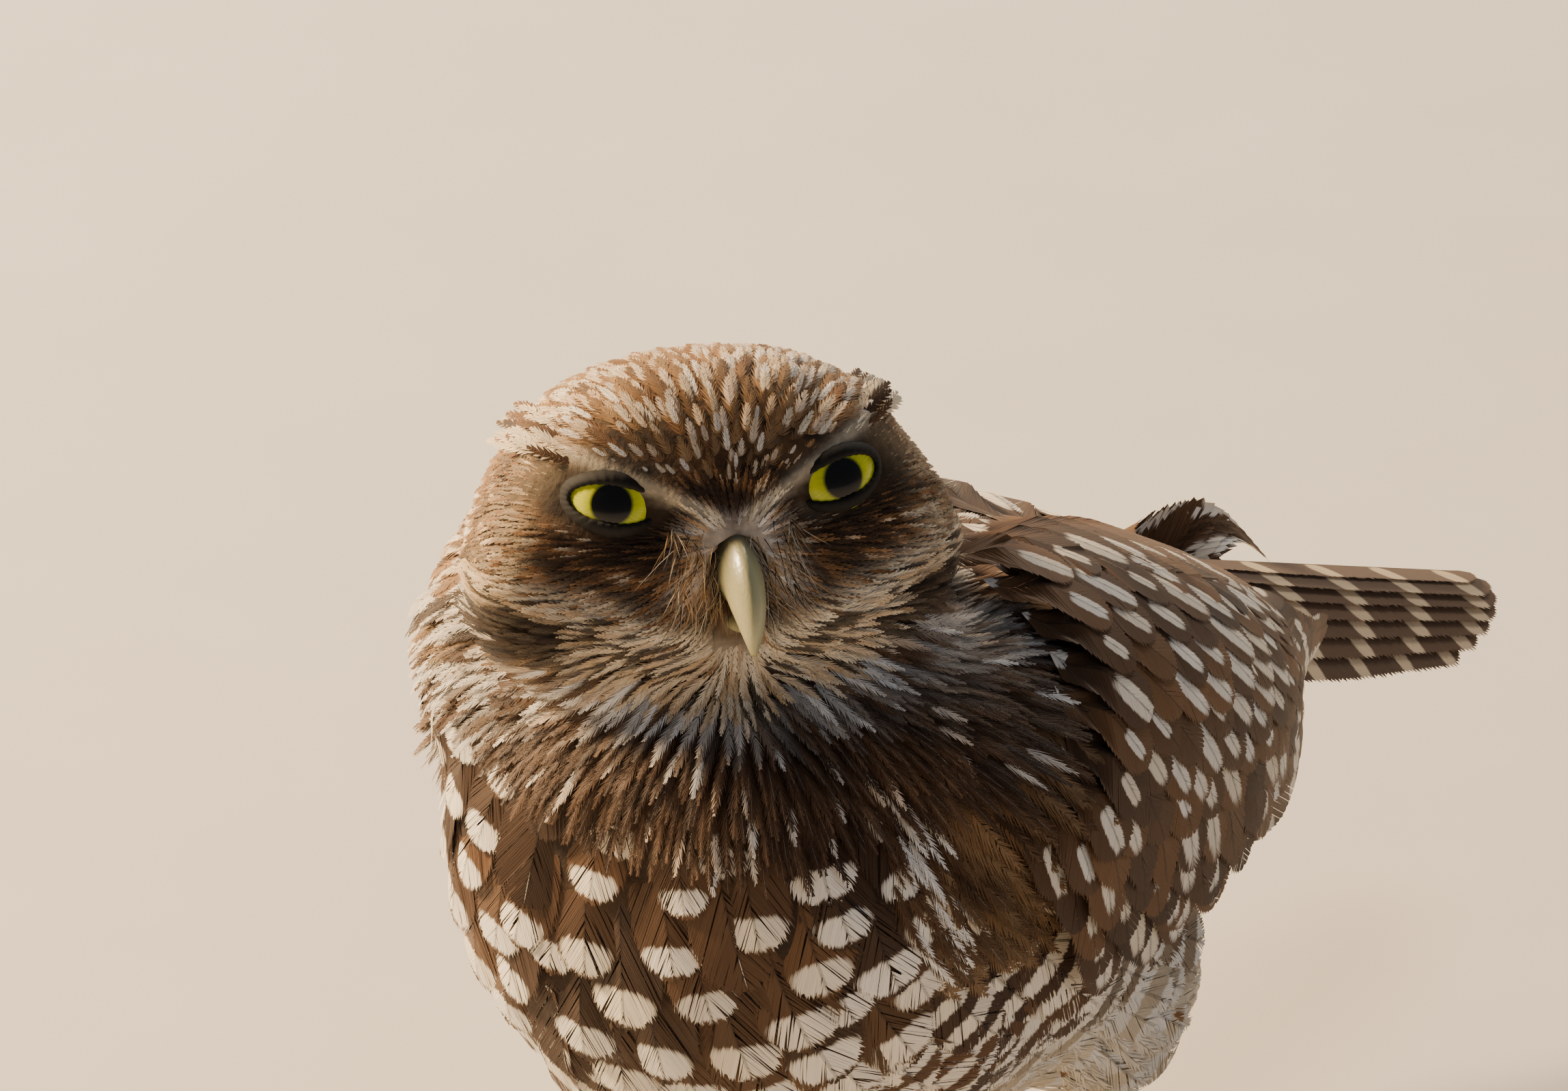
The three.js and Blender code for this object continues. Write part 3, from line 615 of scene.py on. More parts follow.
def barb_plan(barbs, aspect, web, shoulder, slant, ragged, seed, base=0.5):
    """One feather laid flat, as rows of barbs from both sides of its shaft. t runs along it and s across it,
    in half widths. Its outline widens from base, holds, and rounds off from shoulder to the tip. Each barb
    leans by slant lengths to a width, is a strip as far as web along it, and then a point."""
    source = draws(seed)
    table = np.linspace(FIRST_BARB, 1, 400)
    rounding = np.clip((table - shoulder) / (1 - shoulder), 0, 1)
    breadth = mix(base, 1, smooth(table, 0, 0.5)) * np.sqrt(1 - rounding**2)
    rooted = table - aspect * slant * breadth
    place = np.linspace(rooted[0], LAST_BARB, barbs + 1)

    def barb(root, share, reach):
        """Places a share of the way along barbs that curve a little to the tip, from roots on the shaft."""
        end_t, end_s = np.interp(root, rooted, table), np.interp(root, rooted, breadth)
        return np.stack([root + (end_t - root) * reach * share**1.35, end_s * reach * share], -1)

    strip = np.array([[0, 1, 3], [0, 3, 2], [2, 3, 4]])
    first = np.arange(barbs)[:, None, None] * 5
    start, stop = place[:-1], place[1:]
    corners, triangles = [], []
    for number, side in enumerate((1, -1)):
        reach = 1 + source.uniform(-ragged, ragged, barbs)
        middle = (start + stop) / 2 + source.uniform(-0.4, 0.4, barbs) * (stop - start)
        shaft = [barb(start, 0, 1), barb(stop, 0, 1)]
        edge = [barb(start, web, 1), barb(stop, web, 1)]
        sheet = np.stack([*shaft, *edge, barb(middle, 1, reach)], 1)
        sheet[..., 1] *= side
        corners.append(sheet.reshape(-1, 2))
        order = strip if side > 0 else strip[:, ::-1]
        triangles.append((first + order[None]).reshape(-1, 3) + number * barbs * 5)
    along = np.stack([start, stop, start, stop, (start + stop) / 2], -1).ravel()
    corners = np.concatenate(corners)
    return {
        "t": corners[:, 0],
        "s": corners[:, 1],
        "along": np.tile(along, 2),
        "fringe": np.tile([0, 0, web, web, 1.0], 2 * barbs),
        "barb": np.repeat(np.arange(2 * barbs), 5),
        "triangles": np.concatenate(triangles),
        "loose": 1.05 - 0.9 * web,
    }


def bristle_plan():
    """A bristle: a strip of a few steps that narrows to a point."""
    steps = 4
    t = np.linspace(0, 1, steps + 1)[:-1]
    corners = np.concatenate([np.stack([t, 1 - t], -1), np.stack([t, t - 1], -1), [[1.0, 0.0]]])
    left, right, tip = np.arange(steps), np.arange(steps) + steps, 2 * steps
    pairs = [[left[i], right[i], right[i + 1]] for i in range(steps - 1)]
    pairs += [[left[i], right[i + 1], left[i + 1]] for i in range(steps - 1)]
    return {
        "t": corners[:, 0],
        "s": corners[:, 1],
        "along": corners[:, 0],
        "fringe": corners[:, 0] * 0,
        "barb": np.zeros(len(corners), int),
        "triangles": np.array(pairs + [[left[-1], right[-1], tip]]),
        "loose": 1.0,
    }


def unwrap(points):
    """Places on a flat square for points all round a form: each direction from its middle, evened by the
    form's size, on an unfolded octahedron."""
    low, high = points.min(0), points.max(0)
    away = (points - (low + high) / 2) / np.maximum(high - low, 1e-6)
    away = away / np.abs(away).sum(-1, keepdims=True)
    x, y, z = away.T
    fold = np.where(z < 0, 1, 0)
    sign_x, sign_y = np.where(x < 0, -1, 1), np.where(y < 0, -1, 1)
    u = mix(x, (1 - np.abs(y)) * sign_x, fold)
    v = mix(y, (1 - np.abs(x)) * sign_y, fold)
    return np.stack([u, v], -1) * 0.49 + 0.5


# One feather's patch on the baking map, as a share of the map's side.
PATCH = 0.003


def all_triangles(plan, count):
    """The triangles of many feathers of one plan."""
    offsets = (np.arange(count) * len(plan["t"]))[:, None, None]
    return (plan["triangles"][None] + offsets).reshape(-1, 3)


def coat_piece(name, plan, placed, roots, looks, source, length):
    """A coat piece of many feathers of one plan. placed are all corners (feathers, corners, 3) and looks
    gives each feather's ground, mark and spot, four numbers each."""
    count, corners, _ = placed.shape
    tone = source.uniform(0, 1, (count, plan["barb"].max() + 1))[:, plan["barb"]]
    tone = mix(0.5, tone, plan["loose"])
    ground = looks["ground"] if looks["ground"].ndim == 3 else looks["ground"][:, None]
    ground = np.concatenate([np.broadcast_to(ground, (count, corners, 3)), tone[..., None]], -1)
    mark = np.broadcast_to(looks["mark"][:, None], (count, corners, 4))
    spot = np.broadcast_to(looks["spot"][:, None], (count, corners, 4))
    vane = np.stack([plan["s"] * 0.5 + 0.5, plan["t"]], -1)
    fringe = np.broadcast_to(plan["fringe"], (count, corners))
    barb = np.stack([plan["along"][None] * length[:, None], fringe], -1)
    patch = (np.stack([plan["s"] * 0.5, plan["t"] - 0.5], -1) * PATCH)[None] + unwrap(roots)[:, None]
    return piece(
        name,
        placed.reshape(-1, 3),
        all_triangles(plan, count),
        MATERIALS["feather"],
        uvs={
            "OFBake": np.clip(patch, 0.0005, 0.9995).reshape(-1, 2),
            "Vane": np.broadcast_to(vane, (count, corners, 2)).reshape(-1, 2),
            "Barb": barb.reshape(-1, 2),
        },
        colours={"ground": ground.reshape(-1, 4), "mark": mark.reshape(-1, 4), "spot": spot.reshape(-1, 4)},
    )


# Lie of the coat


def lie(points, normals):
    """The direction that feathers point in: away from the bill's root over the head, outward and a little up
    along the whiskers, away from the head down the neck, and towards the tail and down over the body, each
    laid flat on the skin."""
    at = head_lines(points)
    bill = unit(points - from_head(BILL_ROOT))
    outward_side = np.sign(at["l"])[:, None] * HEAD_AXES[1]
    ruff = unit(outward_side + 0.3 * HEAD_AXES[2] - 0.55 * HEAD_AXES[0])
    band = bump(at["whisker"] + 0.5, 4.5) * smooth(at["f"], -4, 4) * smooth(at["side"], 0.5, 5)
    neck = unit(points - HEAD)
    rear = np.array([0.0, 0.8, -0.6])
    near = smooth(-np.linalg.norm(points - HEAD, axis=1), -85, -42)[:, None]
    body = mix(rear, neck, near)
    down = unit(mix(neck, np.array([0, 0.3, -1.0]), 0.5))
    nape = smooth(-at["f"], 4, 20)[:, None]
    over_head = mix(mix(bill, ruff, band[:, None]), down, nape)
    way = mix(body, over_head, at["head"][:, None])
    flat = way - normals * np.einsum("ij,ij->i", way, normals)[:, None]
    return unit(flat)


def scatter(name, spacing, keep):
    """Roots spread evenly over the skin where keep(points) is above a draw: many random places, then each
    kept place removes the others within the spacing."""
    tries = 5
    source = draws(name)
    corners = skin.points[skin.quads]
    middle = corners.mean(1)
    area = np.linalg.norm(np.cross(corners[:, 2] - corners[:, 0], corners[:, 3] - corners[:, 1]), axis=1) / 2
    area = area * (keep(middle) > 0.01)
    wanted = int(area.sum() / spacing**2 * tries)
    picked = source.choice(len(area), wanted, p=area / area.sum())
    a, b = source.uniform(0, 1, (2, wanted, 1))
    q = corners[picked]
    points = (q[:, 0] * (1 - a) + q[:, 1] * a) * (1 - b) + (q[:, 3] * (1 - a) + q[:, 2] * a) * b
    points = points[keep(points) > source.uniform(0, 1, wanted)]
    tree = KDTree(len(points))
    for index, point in enumerate(points):
        tree.insert(point, index)
    tree.balance()
    alive = np.ones(len(points), bool)
    for index, point in enumerate(points):
        if alive[index]:
            alive[[other for _, other, _ in tree.find_range(point, spacing) if other > index]] = False
    return points[alive]


# The breast's rows: the point that rays to it start from, and the angles they rise and turn to; and the
# steps down to the next row and across to the next feather.
BREAST = {
    "middle": (0.0, 25.0, 75.0),
    "reach": 45.0,
    "top": 42.0,
    "bottom": -88.0,
    "turn": 118,
    "row": 5.3,
    "apart": 7.4,
}


def breast_rows(keep):
    """Roots in rows over the breast and belly, found on the skin along rays from the body's middle: each row
    is a step lower, and shifted by half a feather."""
    source = draws("breast_rows")
    rays = []
    rise = BREAST["top"]
    row = 0
    while rise > BREAST["bottom"]:
        size = breast_size(rise)
        step = math.degrees(BREAST["apart"] * size / BREAST["reach"])
        around = step / max(0.25, math.cos(math.radians(rise)))
        turns = np.arange(-BREAST["turn"] + (row % 2) * around / 2, BREAST["turn"], around)
        rays.append(np.stack([turns, np.full(len(turns), rise)], -1))
        rise -= math.degrees(BREAST["row"] * size / BREAST["reach"])
        row += 1
    rays = np.concatenate(rays)
    turn, lift = np.radians(rays + source.normal(0, 0.9, rays.shape)).T
    ways = np.stack([np.sin(turn) * np.cos(lift), -np.cos(turn) * np.cos(lift), np.sin(lift)], -1)
    middle = Vector(BREAST["middle"])
    hits = [skin.tree.ray_cast(middle, Vector(way)) for way in ways]
    points = np.array([hit[0] for hit in hits if hit[0]])
    return points[keep(points) > 0.5]


def breast_size(rise):
    """The size of a breast feather by the angle of its row above the body's middle: smaller higher up."""
    return mix(1.0, 0.82, smooth(np.asarray(rise, float), 10, 42))


def breast_size_at(points):
    """The size of a breast feather at each place, from the angle of its row."""
    rise = np.arcsin(np.clip((points[:, 2] - BREAST["middle"][2]) / BREAST["reach"], -1, 1))
    return breast_size(np.degrees(rise))


# Shaft lines run a little past a feather's tip, in equal steps, and it takes its markings from one of them.
PLAN_REACH = 1.15
STEPS = 8
MARKED_STEP = 6
# How a feather rises: its lift times its length's share to this power, and its edges' fall in half widths.
RISE_POWER = 1.1
CUP = 0.12
# How far corners stray along a feather, in its lengths, and feathers tilt, in their half widths.
RUFFLE = {"along": 0.012, "tilt": 0.1}


def shaft_lines(roots, length, lift, sink, stray, source):
    """Each feather's middle line: steps along the lie of the coat from its root, each at its height above the
    skin. Returns points and directions across at the stations, shaped (feathers, stations, 3)."""
    count = len(roots)
    point = skin.settle(roots, np.full(count, -sink))
    _, normal = skin.read(point)
    way = lie(point, normal)
    across = np.cross(normal, way)
    way = unit(way + across * source.normal(0, stray, (count, 1)))
    stations, ways, normals = [point], [way], [normal]
    for step in range(1, STEPS + 1):
        t = step / STEPS * PLAN_REACH
        point = point + way * (length / STEPS * PLAN_REACH)[:, None]
        point = skin.settle(point, -sink + lift * t**RISE_POWER)
        _, normal = skin.read(point)
        way = unit(mix(way, lie(point, normal), 0.25))
        way = unit(way - normal * np.einsum("ij,ij->i", way, normal)[:, None])
        stations.append(point)
        ways.append(way)
        normals.append(normal)
    points, normals, ways = (np.stack(rows, 1) for rows in (stations, normals, ways))
    return points, np.cross(normals, ways)


def laid(plan, lines, width, lift, sink, source):
    """All corners of the feathers on their shaft lines: read along the line at t, moved across by s half
    widths, and set to a height that grows to the tip and falls to the edges."""
    points, across = lines
    count, stations, _ = points.shape
    t = plan["t"][None] + source.normal(0, RUFFLE["along"], (count, len(plan["t"])))
    place = np.clip(t / PLAN_REACH, 0, 1) * (stations - 1)
    cell = np.minimum(place.astype(int), stations - 2)
    share = (place - cell)[..., None]
    row = np.arange(count)[:, None]
    middle = mix(points[row, cell], points[row, cell + 1], share)
    beside = mix(across[row, cell], across[row, cell + 1], share)
    flat = middle + beside * (plan["s"][None] * width[:, None])[..., None]
    tilt = source.normal(0, RUFFLE["tilt"], (count, 1)) * plan["s"][None] * width[:, None]
    fall = CUP * width[:, None] * plan["s"][None] ** 2
    height = -sink + lift[:, None] * np.clip(t, 0, None) ** RISE_POWER - fall + tilt
    settled = skin.settle(flat.reshape(-1, 3), np.maximum(height, -sink).ravel())
    return settled.reshape(flat.shape)


WING_CORNERS = {"points": [], "triangles": []}


def remember_wing(points, triangles):
    """Keeps a wing piece's surface, for telling what it covers."""
    start = sum(len(part) for part in WING_CORNERS["points"])
    WING_CORNERS["points"].append(points)
    WING_CORNERS["triangles"].append(triangles + start)


def wing_tree():
    """A search tree over all the wings' feathers."""
    points, triangles = (np.concatenate(WING_CORNERS[key]) for key in ("points", "triangles"))
    return BVHTree.FromPolygons(points.tolist(), triangles.tolist())


# How far a wing may be and still cover a root: under the wing, and ahead of it.
COVERED = {"under": 3.0, "ahead": 25.0}
# The most that feathers ahead of a wing rise to pass over its edge.
EDGE_LIFT = 7.0


def uncovered(points, tree):
    """Which roots no wing lies over: a line straight out from the skin meets no wing, or meets it far off
    where the root is ahead of the wing."""
    _, away = skin.read(points)
    starts = points + away * 0.2
    reach = mix(COVERED["under"], COVERED["ahead"], smooth(points[:, 1], 0, 12))
    met = [tree.ray_cast(Vector(a), Vector(b), float(c))[0] for a, b, c in zip(starts, away, reach)]
    return np.array([hit is None for hit in met], bool)


def over_wing(points, tree):
    """How much higher feathers lie to pass over the wing: most for roots just ahead of its front edge."""
    gaps = np.array([tree.find_nearest(Vector(point), 20)[3] or 20 for point in points])
    ahead = smooth(-points[:, 1], -16, -6)
    return EDGE_LIFT * (1 - smooth(gaps, 5, 12)) * ahead


# The opening that feathers keep clear of, and what counts as far from it.
OPENING = {"half_wide": 6.3, "half_high": 3.2, "none": 9.0}


def eye_opening(points):
    """How far each place lies outside the lids' opening: 0 at its middle, 1 at its edge, and OPENING["none"]
    behind the eyes."""
    nearest = np.full(len(points), OPENING["none"])
    for side in (1, -1):
        middle, axis, inward, crown = eye_axes(side)
        away = points - middle
        a, b, c = away @ inward, away @ crown, away @ axis
        a = a - (LIDS["inner"] - LIDS["outer"]) / 2
        b = b + LIDS["slant"] * a / LIDS["inner"]
        inside = np.hypot(a / OPENING["half_wide"], b / OPENING["half_high"])
        nearest = np.minimum(nearest, np.where(c > 0, inside, OPENING["none"]))
    return nearest


def tract(name, roots, looks, long, wide, lift, barbs, web, form, stray, sink=0.3, size=None, slot="plumage"):
    """Lays one tract of feathers on the skin and makes its piece. long, wide and lift are a feather's length,
    half width and rise at its tip, and each is multiplied by size at its root and by a draw. barbs, web and
    form are as barb_plan takes them, and stray is how far its direction wanders from the lie of the coat."""
    piece_name = "feathers_" + name
    source = draws(piece_name + "_lay")
    roots = roots[uncovered(roots, WINGS)]
    count = len(roots)
    scale = (size(roots) if size else 1.0) * source.uniform(0.85, 1.15, count)
    rise = lift * scale + over_wing(roots, WINGS)
    lines = shaft_lines(roots, long * scale, rise, sink, stray, source)
    plan = barb_plan(barbs, wide / long, web, seed=piece_name, **form)
    placed = laid(plan, lines, wide * scale, rise, sink, source)
    marks = looks(lines[0][:, MARKED_STEP], placed, source)
    coat_piece(piece_name, plan, placed, roots, marks, source, long * scale)


def no_spot(count):
    """Marks for feathers of one colour."""
    return {"mark": np.tile([0.0, 0, 0, 1], (count, 1)), "spot": np.tile([0.5, 0.01, 0.0, 0.001], (count, 1))}


def spotted(ground, mark, place, long, apart, wide, repeats=1.0):
    """Marks for spotted feathers: the spot's place along the feather, half length, distance from the shaft,
    half width, and how often it repeats along the feather."""
    count = len(ground)
    spot = np.stack([np.broadcast_to(value, count) for value in (place, long, apart, wide)], -1)
    repeat = np.broadcast_to(repeats, count)
    return {
        "ground": ground,
        "mark": np.concatenate([np.broadcast_to(mark, (count, 3)), repeat[:, None]], -1),
        "spot": spot,
    }


# Materials


def feather_material():
    """Keratin vanes: matt, with a soft sheen along the barbs. The colour comes from each feather's ground and
    mark. A mark is an oval on the vane: its distances from the oval's middle, each to a power, add up to less
    than 1, give or take a grain that jags its edge. A fine sine wave along the shaft parts the barbs: it
    bumps the surface, and its troughs darken the colour as painted shade in the gaps between barbs. Real
    barbs lie closer than 0.1 mm, so the lines are drawn coarser than they are, to show."""
    barb_lines_mm = 0.36
    oval_power = 2.6
    shaft_half = 0.04
    material, tree = new_material("feather_keratin_vane")
    ground = add(tree, "Attribute", attribute_name="ground")
    mark = add(tree, "Attribute", attribute_name="mark")
    spot = add(tree, "Attribute", attribute_name="spot")
    vane = add(tree, "SeparateXYZ", [add(tree, "UVMap", uv_map="Vane")])
    barb = add(tree, "SeparateXYZ", [add(tree, "UVMap", uv_map="Barb")])
    oval = add(tree, "SeparateColor", [spot.outputs["Color"]])
    signed = add(tree, "Math", [vane.outputs[0], 2.0, -1.0], operation="MULTIPLY_ADD")
    side = add(tree, "Math", [signed], operation="ABSOLUTE")
    repeated = add(tree, "Math", [vane.outputs[1], mark.outputs["Alpha"]], operation="MULTIPLY")
    tiled = add(tree, "Math", [repeated], operation="FRACT")
    grain_along = add(tree, "Math", [barb.outputs[0], 3.0], operation="MULTIPLY")
    stretched = add(tree, "CombineXYZ", [grain_along, side])
    grain = add(tree, "TexNoise", {"Vector": stretched, "Scale": 1.3, "Detail": 2.0}, noise_dimensions="2D")
    jag = add(tree, "Math", [grain, 1.3, -0.65], operation="MULTIPLY_ADD")
    powers = []
    for value, middle, half in ((side, 2, spot.outputs["Alpha"]), (tiled, 0, oval.outputs[1])):
        off = add(tree, "Math", [value, oval.outputs[middle]], operation="SUBTRACT")
        share = add(tree, "Math", [off, half], operation="DIVIDE")
        size = add(tree, "Math", [share], operation="ABSOLUTE")
        powers.append(add(tree, "Math", [size, oval_power], operation="POWER"))
    far = add(tree, "Math", powers, operation="ADD")
    jagged = add(tree, "Math", [far, jag], operation="ADD")
    inside = add(tree, "Math", [jagged, -1.8, 2.3], operation="MULTIPLY_ADD", use_clamp=True)
    sides = {"Factor": inside, "A": ground.outputs["Color"], "B": mark.outputs["Color"]}
    base = add(tree, "Mix", sides, data_type="RGBA")
    phase = add(tree, "Math", [barb.outputs[0], 2 * math.pi / barb_lines_mm], operation="MULTIPLY")
    wave = add(tree, "Math", [phase], operation="SINE")
    # The wave's troughs darken the colour: painted shade in the gaps between barbs.
    fine = add(tree, "Math", [wave, 0.09, 0.91], operation="MULTIPLY_ADD")
    tone = add(tree, "Math", [ground.outputs["Alpha"], 0.4, 0.78], operation="MULTIPLY_ADD")
    on_shaft = add(tree, "Math", [side, shaft_half], operation="LESS_THAN")
    shaft = add(tree, "Math", [on_shaft, -0.35, 1.0], operation="MULTIPLY_ADD")
    toned = add(tree, "Math", [fine, tone], operation="MULTIPLY")
    shade = add(tree, "Math", [toned, shaft], operation="MULTIPLY")
    colour = add(tree, "VectorMath", {0: base.outputs["Result"], "Scale": shade}, operation="SCALE")
    finish_material(
        tree,
        {
            "Base Color": colour,
            "Roughness": 0.62,
            "Specular IOR Level": 0.3,
            "Sheen Weight": 0.06,
            "Sheen Roughness": 0.4,
            "Normal": add(tree, "Bump", {"Height": wave, "Strength": 0.25, "Distance": 0.00005}),
        },
    )
    return material


def skin_material():
    """Down-covered skin, matt and mottled by noise in clumps about 1 mm wide, which shows only between the
    feathers."""
    clumps_per_metre = 900.0
    material, tree = new_material("downy_skin")
    ground = add(tree, "Attribute", attribute_name="ground")
    place = add(tree, "TexCoord").outputs["Object"]
    down = add(tree, "TexNoise", {"Vector": place, "Scale": clumps_per_metre, "Detail": 4.0})
    shade = add(tree, "Math", [down, 0.8, 0.35], operation="MULTIPLY_ADD")
    colour = add(tree, "VectorMath", {0: ground.outputs["Color"], "Scale": shade}, operation="SCALE")
    relief = add(tree, "Bump", {"Height": down, "Strength": 0.6, "Distance": 0.0004})
    finish_material(tree, {"Base Color": colour, "Roughness": 0.9, "Normal": relief})
    return material


def bill_material():
    """Horn of the bill: waxy, pale greenish yellow and half clear, clouded by noise about 4 mm wide, with
    fine growth lines. It darkens from the tip to the root: partly the horn's own greyer base, partly painted
    shade where the bristles and feathers cover the root. The map gives the turn round the bill and the run
    along it."""
    clouds_per_metre = 260.0
    # Dark at the root to pale at the tip: the darkest stops are painted shade under the bristles, over the
    # horn's greyer base.
    stops = [(0.0, "35332a"), (0.22, "5d5b47"), (0.42, "92906d"), (0.8, "aba77e"), (1.0, "a09a72")]
    material, tree = new_material("bill_horn")
    place = add(tree, "TexCoord").outputs["Object"]
    cloud = add(tree, "TexNoise", {"Vector": place, "Scale": clouds_per_metre, "Detail": 5.0})
    along = add(tree, "UVMap", uv_map="Length")
    run = add(tree, "SeparateXYZ", [along])
    centred = add(tree, "Math", [run.outputs[1], 0.11], operation="SUBTRACT")
    clouded = add(tree, "Math", [cloud, 0.22, centred], operation="MULTIPLY_ADD")
    lines = add(tree, "TexNoise", {"Vector": along, "Scale": 40.0, "Detail": 3.0}, noise_dimensions="2D")
    finish_material(
        tree,
        {
            "Base Color": add(tree, "ValToRGB", [clouded], stops),
            "Roughness": 0.36,
            "Subsurface Weight": 0.25,
            "Subsurface Radius": (0.004, 0.003, 0.0015),
            "Subsurface Scale": 0.4,
            "Coat Weight": 0.15,
            "Normal": add(tree, "Bump", {"Height": lines, "Strength": 0.3, "Distance": 0.00015}),
        },
    )
    return material


def eye_material():
    """A wet eye: a black pupil in a yellow iris with fine rays, greener and darker at its rim. The map gives
    the distance from the eye's axis, in radii of the iris, and the angle round it."""
    stops = [
        (0.0, "040404"),
        (0.395, "050505"),
        (0.42, "5a5f08"),
        (0.47, "aeb41c"),
        (0.62, "c9cc2a"),
        (0.8, "b4bb24"),
        (0.92, "6d7a16"),
        (0.98, "0a0b05"),
    ]
    material, tree = new_material("wet_eye_iris")
    polar = add(tree, "SeparateXYZ", [add(tree, "UVMap", uv_map="Polar")])
    outward_run = add(tree, "Math", [polar.outputs[0], 0.35], operation="MULTIPLY")
    round_run = add(tree, "Math", [polar.outputs[1], 14.0], operation="MULTIPLY")
    stretched = add(tree, "CombineXYZ", [outward_run, round_run])
    rays = add(tree, "TexNoise", {"Vector": stretched, "Scale": 5.0, "Detail": 4.0}, noise_dimensions="2D")
    fibre = add(tree, "Math", [rays, 0.7, 0.62], operation="MULTIPLY_ADD")
    ring = add(tree, "ValToRGB", [polar.outputs[0]], stops)
    finish_material(
        tree,
        {
            "Base Color": add(tree, "VectorMath", {0: ring, "Scale": fibre}, operation="SCALE"),
            "Roughness": 0.3,
            "Specular IOR Level": 0.2,
            "Coat Weight": 0.6,
            "Coat Roughness": 0.015,
            "Coat IOR": 1.45,
        },
    )
    return material


def plain_skin_material(name, colour, roughness, grain_mm, depth_mm, coat=0.0):
    """Bare skin or horn with a fine grain: one colour varied by noise whose grain is given in millimetres."""
    material, tree = new_material(name)
    place = add(tree, "TexCoord").outputs["Object"]
    grain = add(tree, "TexNoise", {"Vector": place, "Scale": 1000.0 / grain_mm / 4, "Detail": 4.0})
    shade = add(tree, "Math", [grain, 0.6, 0.7], operation="MULTIPLY_ADD")
    tint = add(tree, "VectorMath", {0: linear(colour).tolist(), "Scale": shade}, operation="SCALE")
    finish_material(
        tree,
        {
            "Base Color": tint,
            "Roughness": roughness,
            "Coat Weight": coat,
            "Normal": add(tree, "Bump", {"Height": grain, "Strength": 0.5, "Distance": depth_mm * MM}),
        },
    )
    return material


def floor_material():
    """Matt pale backdrop paper, faintly clouded."""
    clouds_per_metre = 30.0
    material, tree = new_material("backdrop_paper")
    place = add(tree, "TexCoord").outputs["Object"]
    cloud = add(tree, "TexNoise", {"Vector": place, "Scale": clouds_per_metre, "Detail": 3.0})
    colour = add(tree, "ValToRGB", [cloud], [(0.0, "c9c6c0"), (1.0, "d3d0ca")])
    finish_material(tree, {"Base Color": colour, "Roughness": 0.9})
    return material


# The lids are black and matt, the feet dull and finely grained, and the claws dark and a little glossy.
MATERIALS = {
    "feather": feather_material(),
    "skin": skin_material(),
    "bill": bill_material(),
    "eye": eye_material(),
    "lid": plain_skin_material("eyelid_skin", "0b0908", roughness=0.8, grain_mm=0.5, depth_mm=0.15),
    "foot": plain_skin_material("scaled_foot_skin", "8d8069", roughness=0.6, grain_mm=0.9, depth_mm=0.25),
    "claw": plain_skin_material("claw_horn", "2a2420", roughness=0.35, grain_mm=1.2, depth_mm=0.08, coat=0.3),
    "floor": floor_material(),
}


# Skin piece


def skin_colour(points):
    """The coat's own colours all over the skin, darker away from the bill."""
    at = head_lines(points)
    middling = np.full(len(points), 0.5)
    body = body_ground(points, middling)
    face = over(body, face_colour(points, middling), at["head"] * smooth(at["whisker"], -4, 0))
    near_bill = bump(np.linalg.norm(points - from_head(BILL_ROOT), axis=1), 7)
    return face * (0.5 + 0.4 * near_bill)[:, None]


def body_turn(points):
    """The angle of each place round the body's upright middle line, 0 in front and 180 behind."""
    return np.degrees(np.arctan2(np.abs(points[:, 0]), BREAST["middle"][1] - points[:, 1]))


def body_ground(points, dice):
    """Brown on the back and breast, paler towards the flanks, the vent and the thighs."""
    y, z = points[:, 1], points[:, 2]
    colour = over(np.broadcast_to(BROWN, points.shape), UMBER, smooth(dice, -0.1, 0.8))
    colour = over(colour, DARK, 0.25 * smooth(dice, 0.5, 1.0))
    colour = over(colour, WARM, 0.2 * smooth(wobble(points, 14, 21), 0.0, 1.0))
    pale = smooth(-z, -54, -38) * smooth(y, 5, 30)
    return over(colour, CREAM, 0.9 * pale)


def make_skin():
    """The skin under the coat, in the coat's colours."""
    triangles = np.concatenate([skin.quads[:, [0, 1, 2]], skin.quads[:, [0, 2, 3]]])
    colour = np.concatenate([skin_colour(skin.points), np.ones((len(skin.points), 1))], -1)
    triangles = outward(skin.points, triangles)
    made = piece("skin", skin.points, triangles, MATERIALS["skin"], colours={"ground": colour})
    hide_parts(*FLESH)


# Tracts on the skin


def head_mask(points):
    """The head's lines, and 1 on the head outside the eyes' openings."""
    at = head_lines(points)
    return at, (at["head"] > 0.5) * (eye_opening(points) > 1.25)


def bill_clear(at):
    """Where the bill doesn't cover the skin."""
    return ~((at["side"] < 2.2) & (at["f"] > 14) & (at["u"] < -2) & (at["u"] > -14))


def keep_face(points):
    """The facial disc under the brows, down to the whiskers."""
    at, open_skin = head_mask(points)
    front = (at["f"] > 1) & (at["brow"] < 1.6) & (at["whisker"] > 2.0) & (at["disc"] < 1.12)
    return open_skin * front * bill_clear(at)


def keep_ruff(points):
    """The whiskers: a band from the chin out and up to each side."""
    at, open_skin = head_mask(points)
    return open_skin * (at["whisker"] <= 2.6) * (at["whisker"] > -5) * (at["f"] > -3) * bill_clear(at)


def keep_crown(points):
    """The brows, the crown and the back of the head."""
    at, open_skin = head_mask(points)
    back = (at["brow"] >= 1.6) | (at["f"] <= 1) | (at["disc"] >= 1.12)
    ruff = (at["whisker"] <= 2.6) & (at["f"] > -3)
    return open_skin * back * ~ruff * (at["whisker"] > -1)


def keep_tufts(points):
    """The corners of the brows, where pale tufts stand out to each side."""
    at, open_skin = head_mask(points)
    corner = (at["side"] > 19) & (at["side"] < 28) & (np.abs(at["brow"] - 2.0) < 2.6) & (at["f"] > 0)
    return open_skin * corner


def in_collar(points):
    """Whether a place is on the collar, between the whiskers and the breast."""
    at = head_lines(points)
    near = np.linalg.norm(points - HEAD, axis=1) < 38.5
    ruff = (at["whisker"] > -5) & (at["f"] > -3)
    back = (at["whisker"] > -1) & (at["f"] <= -3)
    on_head = at["head"] > 0.5
    return (near | on_head) & ~(on_head & (ruff | back)) & (points[:, 2] > 90)


